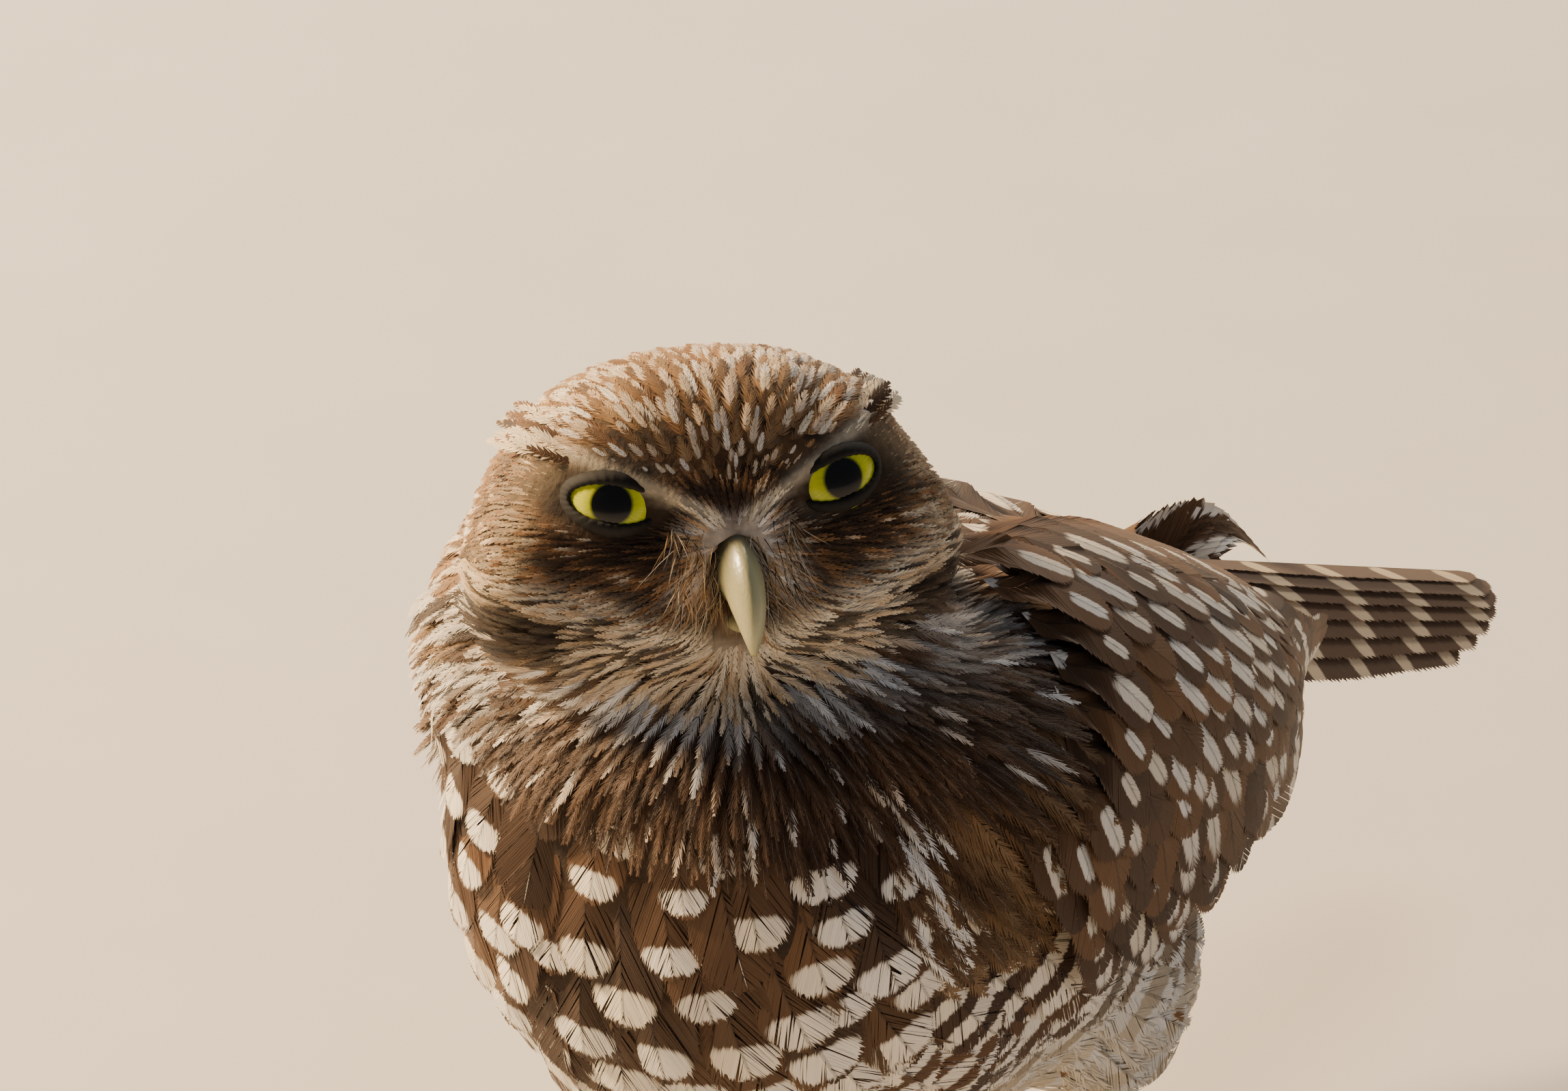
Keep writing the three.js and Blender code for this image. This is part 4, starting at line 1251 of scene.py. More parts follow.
def on_shoulder(points):
    """Whether a place is on the shoulder, ahead of the wing's larger feathers."""
    return (body_turn(points) > 43) & (points[:, 2] > 79) & (points[:, 1] < 26)


def keep_shoulder(points):
    """The shoulder, below the collar."""
    at = head_lines(points)
    return (at["head"] <= 0.5) * on_shoulder(points) * ~in_collar(points)


def keep_breast(points):
    """Where the breast's rows of feathers grow: round the front and the flanks, and up under the collar."""
    at = head_lines(points)
    below = (at["head"] <= 0.5) | (at["whisker"] < -8)
    return below * ~on_shoulder(points) * (points[:, 2] > 26) * (points[:, 2] < 116)


def keep_edge(points):
    """The line where the breast meets the shoulder, which soft white feathers cover."""
    line = np.abs(body_turn(points) - 45 + 0.25 * (points[:, 2] - 88)) < 4
    return line * (points[:, 2] > 80) * (points[:, 2] < 100)


def keep_back(points):
    """The back, the rump and the rear of the flanks, behind the breast's rows."""
    at = head_lines(points)
    behind = (body_turn(points) > 112) | (points[:, 2] > 108)
    return (at["head"] <= 0.5) * ~in_collar(points) * ~on_shoulder(points) * behind * (points[:, 2] > 40)


def keep_under(points):
    """The vent and the thighs."""
    return (points[:, 2] <= 46) * (points[:, 2] > 22) * (body_turn(points) > 60)


def keep_shank(points):
    """The upper shanks, down to the bare feet."""
    return (points[:, 2] <= 25) & (points[:, 2] > 7)


# The looks of each tract take where its feathers' colours are read, all their corners and the source of
# its draws, and give each feather's ground, mark and spot.


def face_looks(seen, placed, source):
    """The face's colours at every corner, so that a mark may cross a feather, and some feathers paler."""
    count, corners, _ = placed.shape
    dice = np.repeat(source.uniform(0, 1, count), corners)
    ground = face_colour(placed.reshape(-1, 3), dice).reshape(placed.shape)
    ground = ground * source.uniform(0.8, 1.2, (count, 1, 1))
    return {"ground": ground, **no_spot(count)}


def ruff_looks(seen, placed, source):
    """Pale whiskers with dark ones among them, most in bands 3 mm apart, and all dark at the sides."""
    count = len(seen)
    dice = source.uniform(0, 1, count)
    at = head_lines(seen)
    ground = over(np.broadcast_to(CREAM, seen.shape), TAN, source.uniform(0, 0.75, count))
    bands = 0.5 + 0.5 * np.sin((at["whisker"] + 0.6 * wobble(seen, 5, 31)) * 2 * math.pi / 3.0)
    ground = over(ground, DARK, 0.9 * (dice < 0.1 + 0.42 * bands))
    patch = smooth(at["side"], 21, 25) * smooth(-at["whisker"], 0.5, 2.0)
    ground = over(ground, DARK, 0.9 * patch)
    return {"ground": ground, **no_spot(count)}


def crown_looks(seen, placed, source):
    """Brown feathers with a pale spot near the tip, a pale band over the brows and a pale bridge."""
    at = head_lines(seen)
    count = len(seen)
    ground = over(np.broadcast_to(BROWN, seen.shape), UMBER, source.uniform(0, 1, count))
    ground = over(ground, WARM, source.uniform(0, 1, count))
    ground = over(ground, TAN, source.uniform(0, 0.6, count))
    brow = bump(at["band"] - 0.2, 1.3) * (at["f"] > 0) * (at["side"] > 1.5)
    brow = brow * (1 - smooth(at["side"], 22, 27))
    ground = over(ground, CREAM, np.clip(0.75 * brow, 0, 1))
    bridge = bump(at["side"], 3.5) * smooth(at["f"], 13, 17) * bump(at["u"] - 1.0, 2.5)
    ground = over(ground, mix(TAN, CREAM, source.uniform(0, 1, (count, 1))), np.clip(1.2 * bridge, 0, 1))
    mark = over(np.broadcast_to(CREAM, seen.shape), WHITE, source.uniform(0, 1, count))
    mark = over(mark, TAN, source.uniform(0, 0.7, count))
    has = source.uniform(0, 1, count) < 0.6
    wide = np.where(has, source.uniform(0.28, 0.6, count), 0.01)
    long = source.uniform(0.18, 0.42, count)
    return spotted(ground, mark, place=source.uniform(0.66, 0.8, count), long=long, apart=0.0, wide=wide)


def tuft_looks(seen, placed, source):
    """The brows' corners: just over half of the tufts cream, the rest brown."""
    ground = over(np.broadcast_to(WARM, seen.shape), UMBER, source.uniform(0, 1, len(seen)))
    ground = over(ground, CREAM, source.uniform(0, 1, len(seen)) < 0.55)
    return {"ground": ground, **no_spot(len(seen))}


def collar_looks(seen, placed, source):
    """The collar's colours, each feather a little lighter or darker, and a few with a broad white tip."""
    count = len(seen)
    ground = collar_colour(seen, source.uniform(0, 1, count)) * source.uniform(0.82, 1.12, (count, 1))
    mark = over(np.broadcast_to(WHITE, seen.shape), TAN, source.uniform(0, 0.7, count))
    wide = np.where(source.uniform(0, 1, count) < 0.06, 0.9, 0.01)
    return spotted(ground, mark, place=0.74, long=0.28, apart=0.0, wide=wide)


def shoulder_looks(seen, placed, source):
    """Brown, with a cream tip on about one feather in eight."""
    count = len(seen)
    ground = over(np.broadcast_to(BROWN, seen.shape), UMBER, source.uniform(0, 1, count))
    ground = over(ground, TAN, source.uniform(0, 0.35, count))
    wide = np.where(source.uniform(0, 1, count) < 0.13, source.uniform(0.35, 0.7, count), 0.01)
    return spotted(ground, CREAM, place=0.8, long=0.13, apart=0.0, wide=wide)


def breast_looks(seen, placed, source):
    """A broad white oval near the tip of each feather, fewer high up, and white bars on the flanks."""
    count = len(seen)
    turn, z = body_turn(seen), seen[:, 2]
    ground = body_ground(seen, source.uniform(0, 1, count))
    mark = over(np.broadcast_to(WHITE, seen.shape), CREAM, source.uniform(0, 0.5, count))
    low = smooth(-z, -99, -93)
    has = source.uniform(0, 1, count) < mix(0.0, 0.95, low)
    flank = (turn + 0.5 * (80 - z) > 55) | (z < 52)
    wide = np.where(has, np.where(flank, 0.98, source.uniform(0.66, 0.82, count)), 0.01)
    repeats = np.where(flank, 3.6, 1.0)
    place = np.where(flank, 0.55, 0.85)
    long = np.where(flank, 0.27, source.uniform(0.1, 0.12, count))
    return spotted(ground, mark, place, long, apart=0.0, wide=wide, repeats=repeats)


def edge_looks(seen, placed, source):
    """White feathers with brown ones among them."""
    ground = over(np.broadcast_to(WHITE, seen.shape), BROWN, source.uniform(0, 1, len(seen)) < 0.45)
    return {"ground": ground, **no_spot(len(seen))}


def back_looks(seen, placed, source):
    """Brown, with a pair of pale spots near the tip of most feathers."""
    count = len(seen)
    ground = body_ground(seen, source.uniform(0, 1, count))
    mark = over(np.broadcast_to(WHITE, seen.shape), CREAM, source.uniform(0, 0.7, count))
    wide = np.where(source.uniform(0, 1, count) < 0.6, 0.24, 0.01)
    return spotted(ground, mark, place=0.76, long=0.14, apart=0.42, wide=wide)


def under_looks(seen, placed, source):
    """White to cream down, with a warm bar on one feather in four."""
    count = len(seen)
    ground = over(np.broadcast_to(WHITE, seen.shape), CREAM, source.uniform(0, 1, count))
    bars = np.where(source.uniform(0, 1, count) < 0.25, 2.0, 0.01)
    return spotted(ground, WARM, place=0.7, long=0.08, apart=0.0, wide=bars)


def face_size(points):
    """Face feathers are short beside the eyes, so that none hangs over them."""
    return mix(0.3, 1.0, smooth(eye_opening(points), 1.3, 2.3))


def crown_size(points):
    """Crown feathers are small beside the bill and the eyes, and full size further back."""
    near_bill = smooth(np.linalg.norm(points - from_head(BILL_ROOT), axis=1), 5, 20)
    return mix(0.5, 1.0, near_bill) * face_size(points)


# The outlines of the coat's feathers, as barb_plan takes them.
LOOSE = {"shoulder": 0.35, "slant": 2.4, "ragged": 0.2}
SHAGGY = {"shoulder": 0.6, "slant": 1.7, "ragged": 0.16}
ROUND_TIP = {"shoulder": 0.7, "slant": 1.9, "ragged": 0.05, "base": 0.6}


def make_coat():
    """Every tract of the coat, from the face to the shanks."""
    roots = scatter("face", 0.6, keep_face)
    sizes = {"long": 5.6, "wide": 0.42, "lift": 0.9, "barbs": 6, "web": 0.35}
    tract("face", roots, face_looks, **sizes, form=LOOSE, stray=0.2, sink=0.15, size=face_size)
    roots = scatter("ruff", 0.75, keep_ruff)
    sizes = {"long": 7.0, "wide": 0.62, "lift": 1.5, "barbs": 12, "web": 0.35}
    tract("ruff", roots, ruff_looks, **sizes, form=LOOSE, stray=0.14, sink=0.15)
    roots = scatter("crown", 1.2, keep_crown)
    sizes = {"long": 7.5, "wide": 1.35, "lift": 1.4, "barbs": 10, "web": 0.4}
    tract("crown", roots, crown_looks, **sizes, form=SHAGGY, stray=0.16, size=crown_size)
    roots = scatter("tufts", 1.2, keep_tufts)
    sizes = {"long": 6.5, "wide": 0.9, "lift": 3.2, "barbs": 8, "web": 0.4}
    tract("tufts", roots, tuft_looks, **sizes, form=SHAGGY, stray=0.25)
    roots = scatter("collar", 1.05, in_collar)
    sizes = {"long": 8.5, "wide": 0.95, "lift": 3.0, "barbs": 13, "web": 0.3}
    tract("collar", roots, collar_looks, **sizes, form=LOOSE, stray=0.18)
    roots = scatter("shoulder", 1.5, keep_shoulder)
    sizes = {"long": 12.5, "wide": 1.7, "lift": 2.0, "barbs": 18, "web": 0.35}
    tract("shoulder", roots, shoulder_looks, **sizes, form=SHAGGY, stray=0.14)
    roots = breast_rows(keep_breast)
    sizes = {"long": 21.0, "wide": 6.4, "lift": 2.2, "barbs": 36, "web": 0.9}
    tract("breast", roots, breast_looks, **sizes, form=ROUND_TIP, stray=0.05, size=breast_size_at)
    roots = scatter("edge", 1.5, keep_edge)
    sizes = {"long": 10.0, "wide": 0.9, "lift": 3.0, "barbs": 14, "web": 0.25}
    tract("edge", roots, edge_looks, **sizes, form=LOOSE, stray=0.16)
    roots = scatter("back", 4.2, keep_back)
    sizes = {"long": 17.0, "wide": 5.0, "lift": 1.8, "barbs": 22, "web": 0.75}
    tract("back", roots, back_looks, **sizes, form=ROUND_TIP, stray=0.08)
    roots = scatter("under", 2.3, keep_under)
    sizes = {"long": 13.0, "wide": 2.3, "lift": 2.2, "barbs": 14, "web": 0.3}
    tract("under", roots, under_looks, **sizes, form=LOOSE, stray=0.25, slot="down")
    roots = scatter("shank", 1.4, keep_shank)
    sizes = {"long": 4.6, "wide": 0.9, "lift": 0.6, "barbs": 6, "web": 0.4}
    tract("shank", roots, under_looks, **sizes, form=LOOSE, stray=0.2, slot="down")


BRISTLES = {"count": 420, "root": 17.0, "bend": 0.8, "half_wide": 0.085}


def make_bristles():
    """Fine bristles round the bill: each springs forward from the lores and bends down and outward."""
    source = draws("bristles")
    count = BRISTLES["count"]
    side = source.choice([-1, 1], count)
    wide = source.uniform(1.6, 7.5, count)
    root = np.stack([np.full(count, BRISTLES["root"]), side * wide, source.uniform(-10, 1, count)], -1)
    root = skin.settle(from_head(root), np.zeros(count))
    spring = np.stack([source.uniform(0.5, 1.1, count), side * source.uniform(-0.3, 0.5, count)], -1)
    start = unit(np.concatenate([spring, -source.uniform(0.1, 0.7, (count, 1))], -1)) @ HEAD_AXES
    bend = np.stack([-source.uniform(0.1, 0.4, count), side * source.uniform(-0.1, 0.5, count)], -1)
    bend = np.concatenate([bend, -source.uniform(0.2, 0.7, (count, 1))], -1) @ HEAD_AXES
    long = source.uniform(3.5, 8.5, count)
    plan = bristle_plan()
    t = plan["t"][None, :, None]
    across = unit(np.cross(start, bend))
    run = start[:, None] * t + bend[:, None] * t**2 * BRISTLES["bend"]
    path = root[:, None] + long[:, None, None] * run
    placed = path + across[:, None] * plan["s"][None, :, None] * BRISTLES["half_wide"]
    ground = over(np.broadcast_to(DARK, (count, 3)), TAN, source.uniform(0, 1, count) < 0.6)
    ground = over(ground, CREAM, source.uniform(0, 1, count) < 0.25)
    looks = {"ground": ground, **no_spot(count)}
    coat_piece("bristles", plan, placed, root, looks, source, long)


# Wings

PRIMARIES = {
    "count": 7,
    "root": (46, 96),
    "root_end": (66, 64),
    "tip": (130, 92),
    "end": (114, 52),
    "high": -1.8,
    "spread": 40,
}
ROWS = {"count": 9, "rear": ((20, 106), (106, 30)), "front": ((4, 90), (32, 34)), "feathers": (16, 9)}
ROW_SIZES = {"long": (31, 16), "wide": (6.6, 5.4), "high": (-1.2, 2.8)}
ROW_GROUPS = (("remiges", 0, 3, 34), ("greater_coverts", 3, 6, 26), ("median_coverts", 6, 9, 20))


# How deep a wing feather's root is sunk, how deep the wing's front is, how far tips rise and edges overlap,
# and how much lower a vane's edges are than its shaft.
WING_SET = {"root": 3.2, "front": 3.6, "tip": 0.3, "overlap": 0.3, "crown": 0.12}


def sheet_vanes(side, plan, root, tip, wide, high, source):
    """All corners of feathers on a wing's sheet. Each follows a straight run of y and angle from root to tip
    and is spread across it by s half widths, with its lower edge out and its upper edge in."""
    t = plan["t"][None]
    s = plan["s"][None] + source.normal(0, 0.008, (len(root), len(plan["s"])))
    y = root[:, :1] + (tip - root)[:, :1] * t
    angle = np.radians(root[:, 1:] + (tip - root)[:, 1:] * t)
    here = on_sheet(side, y, angle, 0)
    below = (on_sheet(side, y, angle + 0.02, 0) - here) / 0.02
    rear = on_sheet(side, y + 1, angle, 0) - here
    outer = unit(np.cross(below, rear)) * side
    heading = unit(rear * (tip - root)[:, None, :1] + below * np.radians((tip - root)[:, None, 1:]))
    across = np.cross(outer, heading)
    shift = across * (s * wide[:, None])[..., None]
    step_angle = np.einsum("ijk,ijk->ij", shift, below) / np.einsum("ijk,ijk->ij", below, below)
    step_y = np.einsum("ijk,ijk->ij", shift, rear) / np.einsum("ijk,ijk->ij", rear, rear)
    lower = -np.sign(shift[..., 2])
    rooted = WING_SET["root"] * (1 - smooth(t, 0, 0.35))
    ahead = WING_SET["front"] * (1 - smooth(y, -4, 15))
    risen = high[:, None] + WING_SET["tip"] * smooth(t, 0.3, 1.0)
    crowned = risen + lower * WING_SET["overlap"] * np.abs(s) - WING_SET["crown"] * s**2
    height = crowned - rooted - ahead
    return on_sheet(side, y + step_y, angle + step_angle, height)


def wing_row(number, source):
    """One row's roots and tips on the sheet, and its half widths and heights. Its tips lie on an arc from the
    wing's lower edge up to the back, and its feathers turn from downward to rearward along it."""
    share = number / (ROWS["count"] - 1)
    rear, front = np.array(ROWS["rear"], float), np.array(ROWS["front"], float)
    first, last = mix(rear, front, share)
    count = round(mix(*ROWS["feathers"], share))
    t = np.linspace(0.16 * (number % 2), 1, count)
    swing = t * math.pi / 2
    tip = np.stack([mix(first[0], last[0], np.sin(swing)), mix(last[1], first[1], np.cos(swing))], -1)
    tip = tip + source.normal(0, 0.5, tip.shape)
    long = mix(*ROW_SIZES["long"], share) * source.uniform(0.94, 1.06, count)
    heading = np.radians(mix(76.0, 58.0, t))
    around = np.degrees(long * np.sin(heading) / through(SHEET, tip[:, 0])[:, 0])
    root = tip - np.stack([long * np.cos(heading), around], -1)
    wide = mix(*ROW_SIZES["wide"], share) * source.uniform(0.92, 1.08, count)
    return root, tip, wide, np.full(count, mix(*ROW_SIZES["high"], share)), long


def primaries(side):
    """The longest feathers, under the others, with their tips on an arc at the wing's rear."""
    share = np.linspace(0, 1, PRIMARIES["count"] if side > 0 else 2 * PRIMARIES["count"])
    swing = share * math.pi / 2
    root = mix(np.array(PRIMARIES["root"], float), np.array(PRIMARIES["root_end"], float), share[:, None])
    (y, angle), (y_end, angle_end) = PRIMARIES["tip"], PRIMARIES["end"]
    reach, spread = (0, 0) if side > 0 else (RAISED["reach"], PRIMARIES["spread"])
    turn = mix(angle_end, angle, np.cos(swing)) + spread * np.cos(2 * swing)
    tip = np.stack([mix(y, y_end, np.sin(swing)) + reach * (1 - share), turn], -1)
    ends = [on_sheet(side, spot[:, 0], np.radians(spot[:, 1]), 0) for spot in (root, tip)]
    long = np.linalg.norm(ends[1] - ends[0], axis=1)
    return root, tip, mix(6.0, 7.0, share), np.full(len(share), float(PRIMARIES["high"])), long


def wing_looks(name, source, count):
    """Brown feathers, some warmer, with pale ovals: a pair near the tip of each covert, rows on the rest."""
    ground = over(np.broadcast_to(BROWN, (count, 3)), UMBER, source.uniform(0, 0.9, count))
    ground = over(ground, WARM, source.uniform(0, 0.45, count))
    ground = over(ground, DARK, 0.5 * (source.uniform(0, 1, count) < 0.3))
    mark = over(np.broadcast_to(WHITE, (count, 3)), CREAM, source.uniform(0, 0.8, count))
    size = source.uniform(0.55, 1.3, count) * (source.uniform(0, 1, count) < 0.78) + 0.01
    if name == "primaries":
        return spotted(ground, mark, place=0.5, long=0.2, apart=0.7, wide=0.3, repeats=6.0)
    if name == "remiges":
        return spotted(ground, mark, place=0.62, long=0.27 * size, apart=0.1, wide=0.22 * size, repeats=2.0)
    if name == "greater_coverts":
        return spotted(ground, mark, place=0.74, long=0.2 * size, apart=0.1, wide=0.23 * size)
    return spotted(ground, mark, place=0.74, long=0.22 * size, apart=0.1, wide=0.22 * size)


WING_FORM = {"shoulder": 0.78, "base": 0.7, "slant": 1.1, "ragged": 0.02}


def make_wing(side, label):
    """A folded wing: the primaries, then rows of shorter feathers that overlap like shingles."""
    source = draws("wing_" + label)
    tiers = [("primaries", primaries(side), 50)]
    for name, start, stop, barbs in ROW_GROUPS:
        rows = [wing_row(number, source) for number in range(start, stop)]
        tiers.append((name, [np.concatenate(part) for part in zip(*rows)], barbs))
    for name, (root, tip, wide, high, long), barbs in tiers:
        aspect = float(wide.mean() / long.mean())
        plan = barb_plan(barbs, aspect, 0.9, seed=name + label, **WING_FORM)
        placed = sheet_vanes(side, plan, root, tip, wide, high, source)
        looks = wing_looks(name, source, len(root))
        row_name = f"{name}_{label}"
        coat_piece(row_name, plan, placed, placed[:, 0], looks, source, long)
        remember_wing(placed.reshape(-1, 3), all_triangles(plan, len(root)))
    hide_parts("wing_" + label)


# Tail

TAIL = {"start": 103, "base": 106, "tip": 194, "height": 76.5, "slope": 0.455, "roof": 0.04}
# The tail's feathers, in pairs from the middle out: their barbs, half width, its share of their length,
# place of the first from the middle, steps to the next, and how much shorter and lower each pair is.
RECTRIX = {
    "pairs": 6,
    "barbs": 64,
    "half_wide": 5.0,
    "aspect": 0.072,
    "inner": 1.3,
    "root_step": 2.2,
    "tip_step": 1.35,
    "taper": 0.85,
    "sink": 0.8,
}


def tail_height(x, y):
    """The tail's roof: it slopes down to the rear and to each side."""
    return TAIL["height"] - TAIL["slope"] * (y - TAIL["start"]) - TAIL["roof"] * x * x


def make_tail():
    """Twelve feathers stacked like a low roof, the middle pair on top: each lies on the roof's height, less a
    step for each feather above it, with its edges a little lower than its shaft."""
    source = draws("tail")
    rank = np.repeat(np.arange(RECTRIX["pairs"]), 2)
    side = np.tile([1, -1], RECTRIX["pairs"])
    count = len(rank)
    form = {"shoulder": 0.9, "base": 0.8, "slant": 1.1, "ragged": 0.03}
    plan = barb_plan(RECTRIX["barbs"], RECTRIX["aspect"], 0.93, seed="rectrix", **form)
    t, s = plan["t"][None], plan["s"][None]
    tip = TAIL["tip"] - RECTRIX["taper"] * rank**2
    y = TAIL["base"] + (tip - TAIL["base"])[:, None] * t
    step = mix(RECTRIX["root_step"], RECTRIX["tip_step"], t)
    middle = side[:, None] * (RECTRIX["inner"] + rank[:, None] * step)
    x = middle + s * RECTRIX["half_wide"]
    layer = (rank + np.where(side > 0, 0.5, 0))[:, None]
    z = tail_height(x, y) - RECTRIX["sink"] * layer + 0.3 - 0.25 * np.abs(s)
    placed = np.stack([x, y, z], -1)
    ground = over(np.broadcast_to(BROWN, (count, 3)), UMBER, source.uniform(0, 0.6, count))
    mark = over(CREAM, TAN, 0.4)
    looks = spotted(ground, mark, place=0.5, long=0.14, apart=0.55, wide=0.5, repeats=5.0)
    long = tip - TAIL["base"]
    made = coat_piece("tail_feathers", plan, placed, placed[:, 0], looks, source, long)
    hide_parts("tail")


# Eyes, bill and feet


def make_eye(side, label):
    """An eyeball with a slightly bulging front, mapped by distance from its axis and angle round it."""
    middle, axis, inward, crown = eye_axes(side)
    polar = np.linspace(0, math.pi, 49)[1:-1][:, None]
    around = np.linspace(0, 2 * math.pi, 65)[None, :-1]
    radius = EYE["radius"] * (1 + EYE["bulge"] * smooth(np.cos(polar), 0.6, 1.0))
    f, a, b = np.cos(polar) + 0 * around, np.sin(polar) * np.cos(around), np.sin(polar) * np.sin(around)
    rings = middle + radius[..., None] * (f[..., None] * axis + a[..., None] * inward + b[..., None] * crown)
    points, triangles = closed_grid(rings)
    away = (points - middle) @ np.stack([axis, inward, crown]).T
    off = np.hypot(away[:, 1], away[:, 2]) / EYE["iris"]
    off = np.where(away[:, 0] < 0, EYE["behind"], off)
    turn = np.arctan2(away[:, 2], away[:, 1]) / (2 * math.pi)
    uvs = {"Polar": np.stack([off, np.abs(turn) * 2], -1)}
    made = piece("eyeball_" + label, points, triangles, MATERIALS["eye"], uvs)
    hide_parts("eye_" + label)


def make_lids(side, label):
    """A black rim round the eye's opening: a rolled band that follows the almond outline on the eyeball. Its
    thickness times the cosine of the roll is added outward, and times the sine forward."""
    middle, axis, inward, crown = eye_axes(side)
    turns, rolls = 96, 12
    around = np.linspace(0, 2 * math.pi, turns + 1)[:-1][:, None]
    tube = np.linspace(0, 2 * math.pi, rolls + 1)[:-1][None, :]
    reach = np.where(np.cos(around) > 0, LIDS["inner"], LIDS["outer"])
    high = np.where(np.sin(around) > 0, LIDS["high"], LIDS["low"])
    a = reach * np.sign(np.cos(around)) * np.abs(np.cos(around)) ** LIDS["corner"]
    b = high * np.sin(around) - LIDS["slant"] * a / LIDS["inner"]
    thick = 1.0 + 0.06 * np.cos(around * 30)
    radial = unit(np.stack([a + 0 * tube, b + 0 * tube], -1))
    a = a + radial[..., 0] * (LIDS["out"] + thick * np.cos(tube))
    b = b + radial[..., 1] * (LIDS["out"] + thick * np.cos(tube))
    ball = np.sqrt(np.maximum(1, (EYE["radius"] + 0.2) ** 2 - a**2 - b**2))
    shell = ball + thick * np.sin(tube) * LIDS["flat"]
    points = middle + a[..., None] * inward + b[..., None] * crown + shell[..., None] * axis
    points = points.reshape(-1, 3)
    row = np.arange(rolls)
    last, after = (turns - 1) * rolls, (row + 1) % rolls
    bridge = np.stack([last + row, last + after, after, last + row, after, row], -1).reshape(-1, 3)
    triangles = outward(points, np.concatenate([grid_triangles(turns, rolls), bridge]))
    piece("eyelids_" + label, points, triangles, MATERIALS["lid"])


# The bill's halves: each row is a share of the length, the middle line's forward and up in the head, and
# the half width and half height there.
UPPER_BILL = [
    (0.0, 13, -5.6, 3.1, 5.2),
    (0.2, 18.5, -5.6, 3.0, 5.0),
    (0.4, 23.2, -6.8, 2.75, 4.1),
    (0.6, 26, -9.8, 2.3, 3.1),
    (0.8, 26.9, -13, 1.5, 2),
    (1.0, 26.6, -16.2, 0.4, 0.6),
]
LOWER_BILL = [
    (0.0, 12, -12, 2.4, 1.5),
    (0.35, 16.6, -12.4, 2.1, 1.4),
    (0.7, 19.8, -12.8, 1.5, 1.2),
    (1.0, 21.2, -13.4, 0.7, 0.6),
]


def bill_half(name, line, node, keel):
    """A tapering horn along a curved middle line: each ring is an oval with a ridge on its outer side."""
    rings, sides = 40, 36
    t = np.linspace(0, 1, rings)
    f, u, wide, high = through(line, t).T
    path = np.stack([f, u], -1)
    ahead = unit(np.gradient(path, axis=0))
    out = np.stack([-ahead[:, 1], ahead[:, 0]], -1)
    around = np.linspace(0, 2 * math.pi, sides + 1)[None, :-1]
    ridge = 1 + keel * np.maximum(0, np.sin(around)) ** 6
    l = wide[:, None] * np.cos(around) * (1 - 0.12 * np.maximum(0, np.sin(around)))
    n = high[:, None] * np.sin(around) * ridge
    places = np.stack([f[:, None] + out[:, :1] * n, l, u[:, None] + out[:, 1:] * n], -1)
    points, triangles = closed_grid(from_head(places.reshape(-1, 3)).reshape(places.shape))
    run = np.concatenate([np.repeat(t, sides), [0, 1]])
    turn = np.concatenate([np.tile(around.ravel() / (2 * math.pi), rings), [0, 0]])
    uvs = {"Length": np.stack([turn, run], -1)}
    made = piece(name, points, triangles, MATERIALS["bill"], uvs)
    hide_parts(node)


def make_feet():
    """The feet and claws keep their CAD forms, with bare, finely grained skin and horn."""
    for name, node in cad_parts.items():
        kind = name.split("_")[0]
        if kind in ("foot", "claw"):
            node.data.materials.clear()
            node.data.materials.append(MATERIALS[kind])


# Camera, light and floor

VIEW = {"azimuth": 33.0, "elevation": 27.0, "distance": 2000.0, "scale": 11.2, "width": 2296}
LOOK_AT = {"right": 80.0, "down": 53.0, "from": (0.0, 0.0, 128.0)}


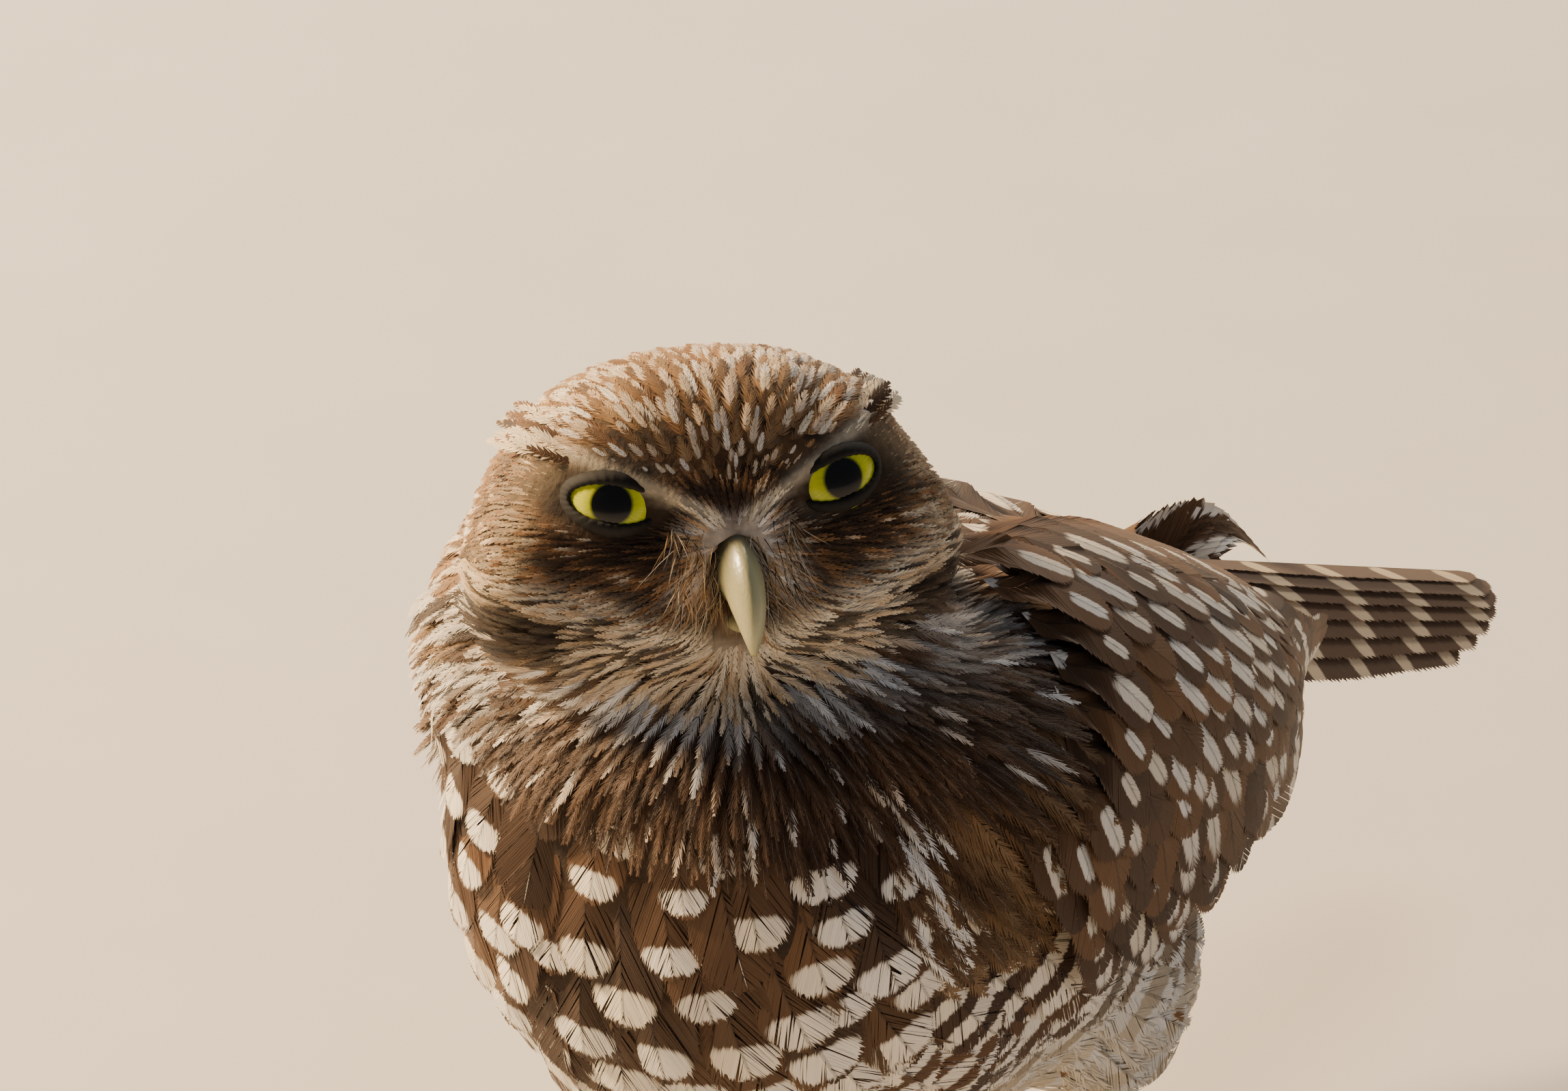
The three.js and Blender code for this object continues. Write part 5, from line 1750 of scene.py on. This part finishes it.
def make_camera():
    """The photograph's view: the head is off the frame's middle by LOOK_AT pixels at scale pixels to a mm."""
    azimuth, elevation = math.radians(VIEW["azimuth"]), math.radians(VIEW["elevation"])
    level = math.cos(elevation)
    back = np.array([math.sin(azimuth) * level, -math.cos(azimuth) * level, math.sin(elevation)])
    right = np.array([math.cos(azimuth), math.sin(azimuth), 0])
    up = np.cross(back, right)
    aside, down = LOOK_AT["right"] / VIEW["scale"], LOOK_AT["down"] / VIEW["scale"]
    target = np.array(LOOK_AT["from"]) + right * aside - up * down
    data = bpy.data.cameras.new("camera")
    data.sensor_width = 36.0
    data.lens = VIEW["distance"] * VIEW["scale"] * data.sensor_width / VIEW["width"]
    camera = bpy.data.objects.new("camera", data)
    bpy.context.scene.collection.objects.link(camera)
    camera.location = Vector((target + back * VIEW["distance"] + SHIFT) * MM)
    camera.rotation_mode = "QUATERNION"
    camera.rotation_quaternion = Vector(-back).to_track_quat("-Z", "Y")
    data.clip_start, data.clip_end = 0.1, 20.0
    bpy.context.scene.camera = camera


def make_light(name, place, power, size, colour, mirrored=True):
    """A square soft light at a place in metres, aimed at the owl."""
    data = bpy.data.lights.new(name, "AREA")
    data.energy = power
    data.size = size
    data.color = linear(colour)
    lamp = bpy.data.objects.new(name, data)
    lamp.location = place
    lamp.rotation_mode = "QUATERNION"
    lamp.rotation_quaternion = (Vector((0, 0, 0.08)) - Vector(place)).to_track_quat("-Z", "Y")
    lamp.visible_glossy = mirrored
    bpy.context.scene.collection.objects.link(lamp)


def make_stage():
    """A pale floor, a faint cool sky, and three soft lights: warm and strong from the owl's right."""
    floor = bpy.data.meshes.new("floor")
    half = 6.0
    corners = [(-half, -half, 0), (half, -half, 0), (half, half, 0), (-half, half, 0)]
    floor.from_pydata(corners, [], [(0, 1, 2, 3)])
    floor.materials.append(MATERIALS["floor"])
    made = bpy.data.objects.new("floor", floor)
    bpy.context.scene.collection.objects.link(made)
    world = bpy.data.worlds.new("studio")
    world.use_nodes = True
    world.node_tree.nodes["Background"].inputs["Color"].default_value = paint("c2cad6")
    world.node_tree.nodes["Background"].inputs["Strength"].default_value = 0.19
    bpy.context.scene.world = world
    make_light("key", (-1.4, -0.4, 0.95), power=120.0, size=0.35, colour="ffdcae")
    make_light("fill", (1.4, -0.6, 0.8), power=6.0, size=1.2, colour="dbe5ff", mirrored=False)
    make_light("back", (-0.3, 1.3, 1.2), power=16.0, size=0.6, colour="fff0dc")


make_camera()
make_stage()
make_skin()
for side, label in ((1, "left"), (-1, "right")):
    make_wing(side, label)
    make_eye(side, label)
    make_lids(side, label)
WINGS = wing_tree()
make_coat()
make_bristles()
make_tail()
bill_half("bill_upper_horn", UPPER_BILL, "bill_upper", keel=0.1)
bill_half("bill_lower_horn", LOWER_BILL, "bill_lower", keel=0.0)
make_feet()
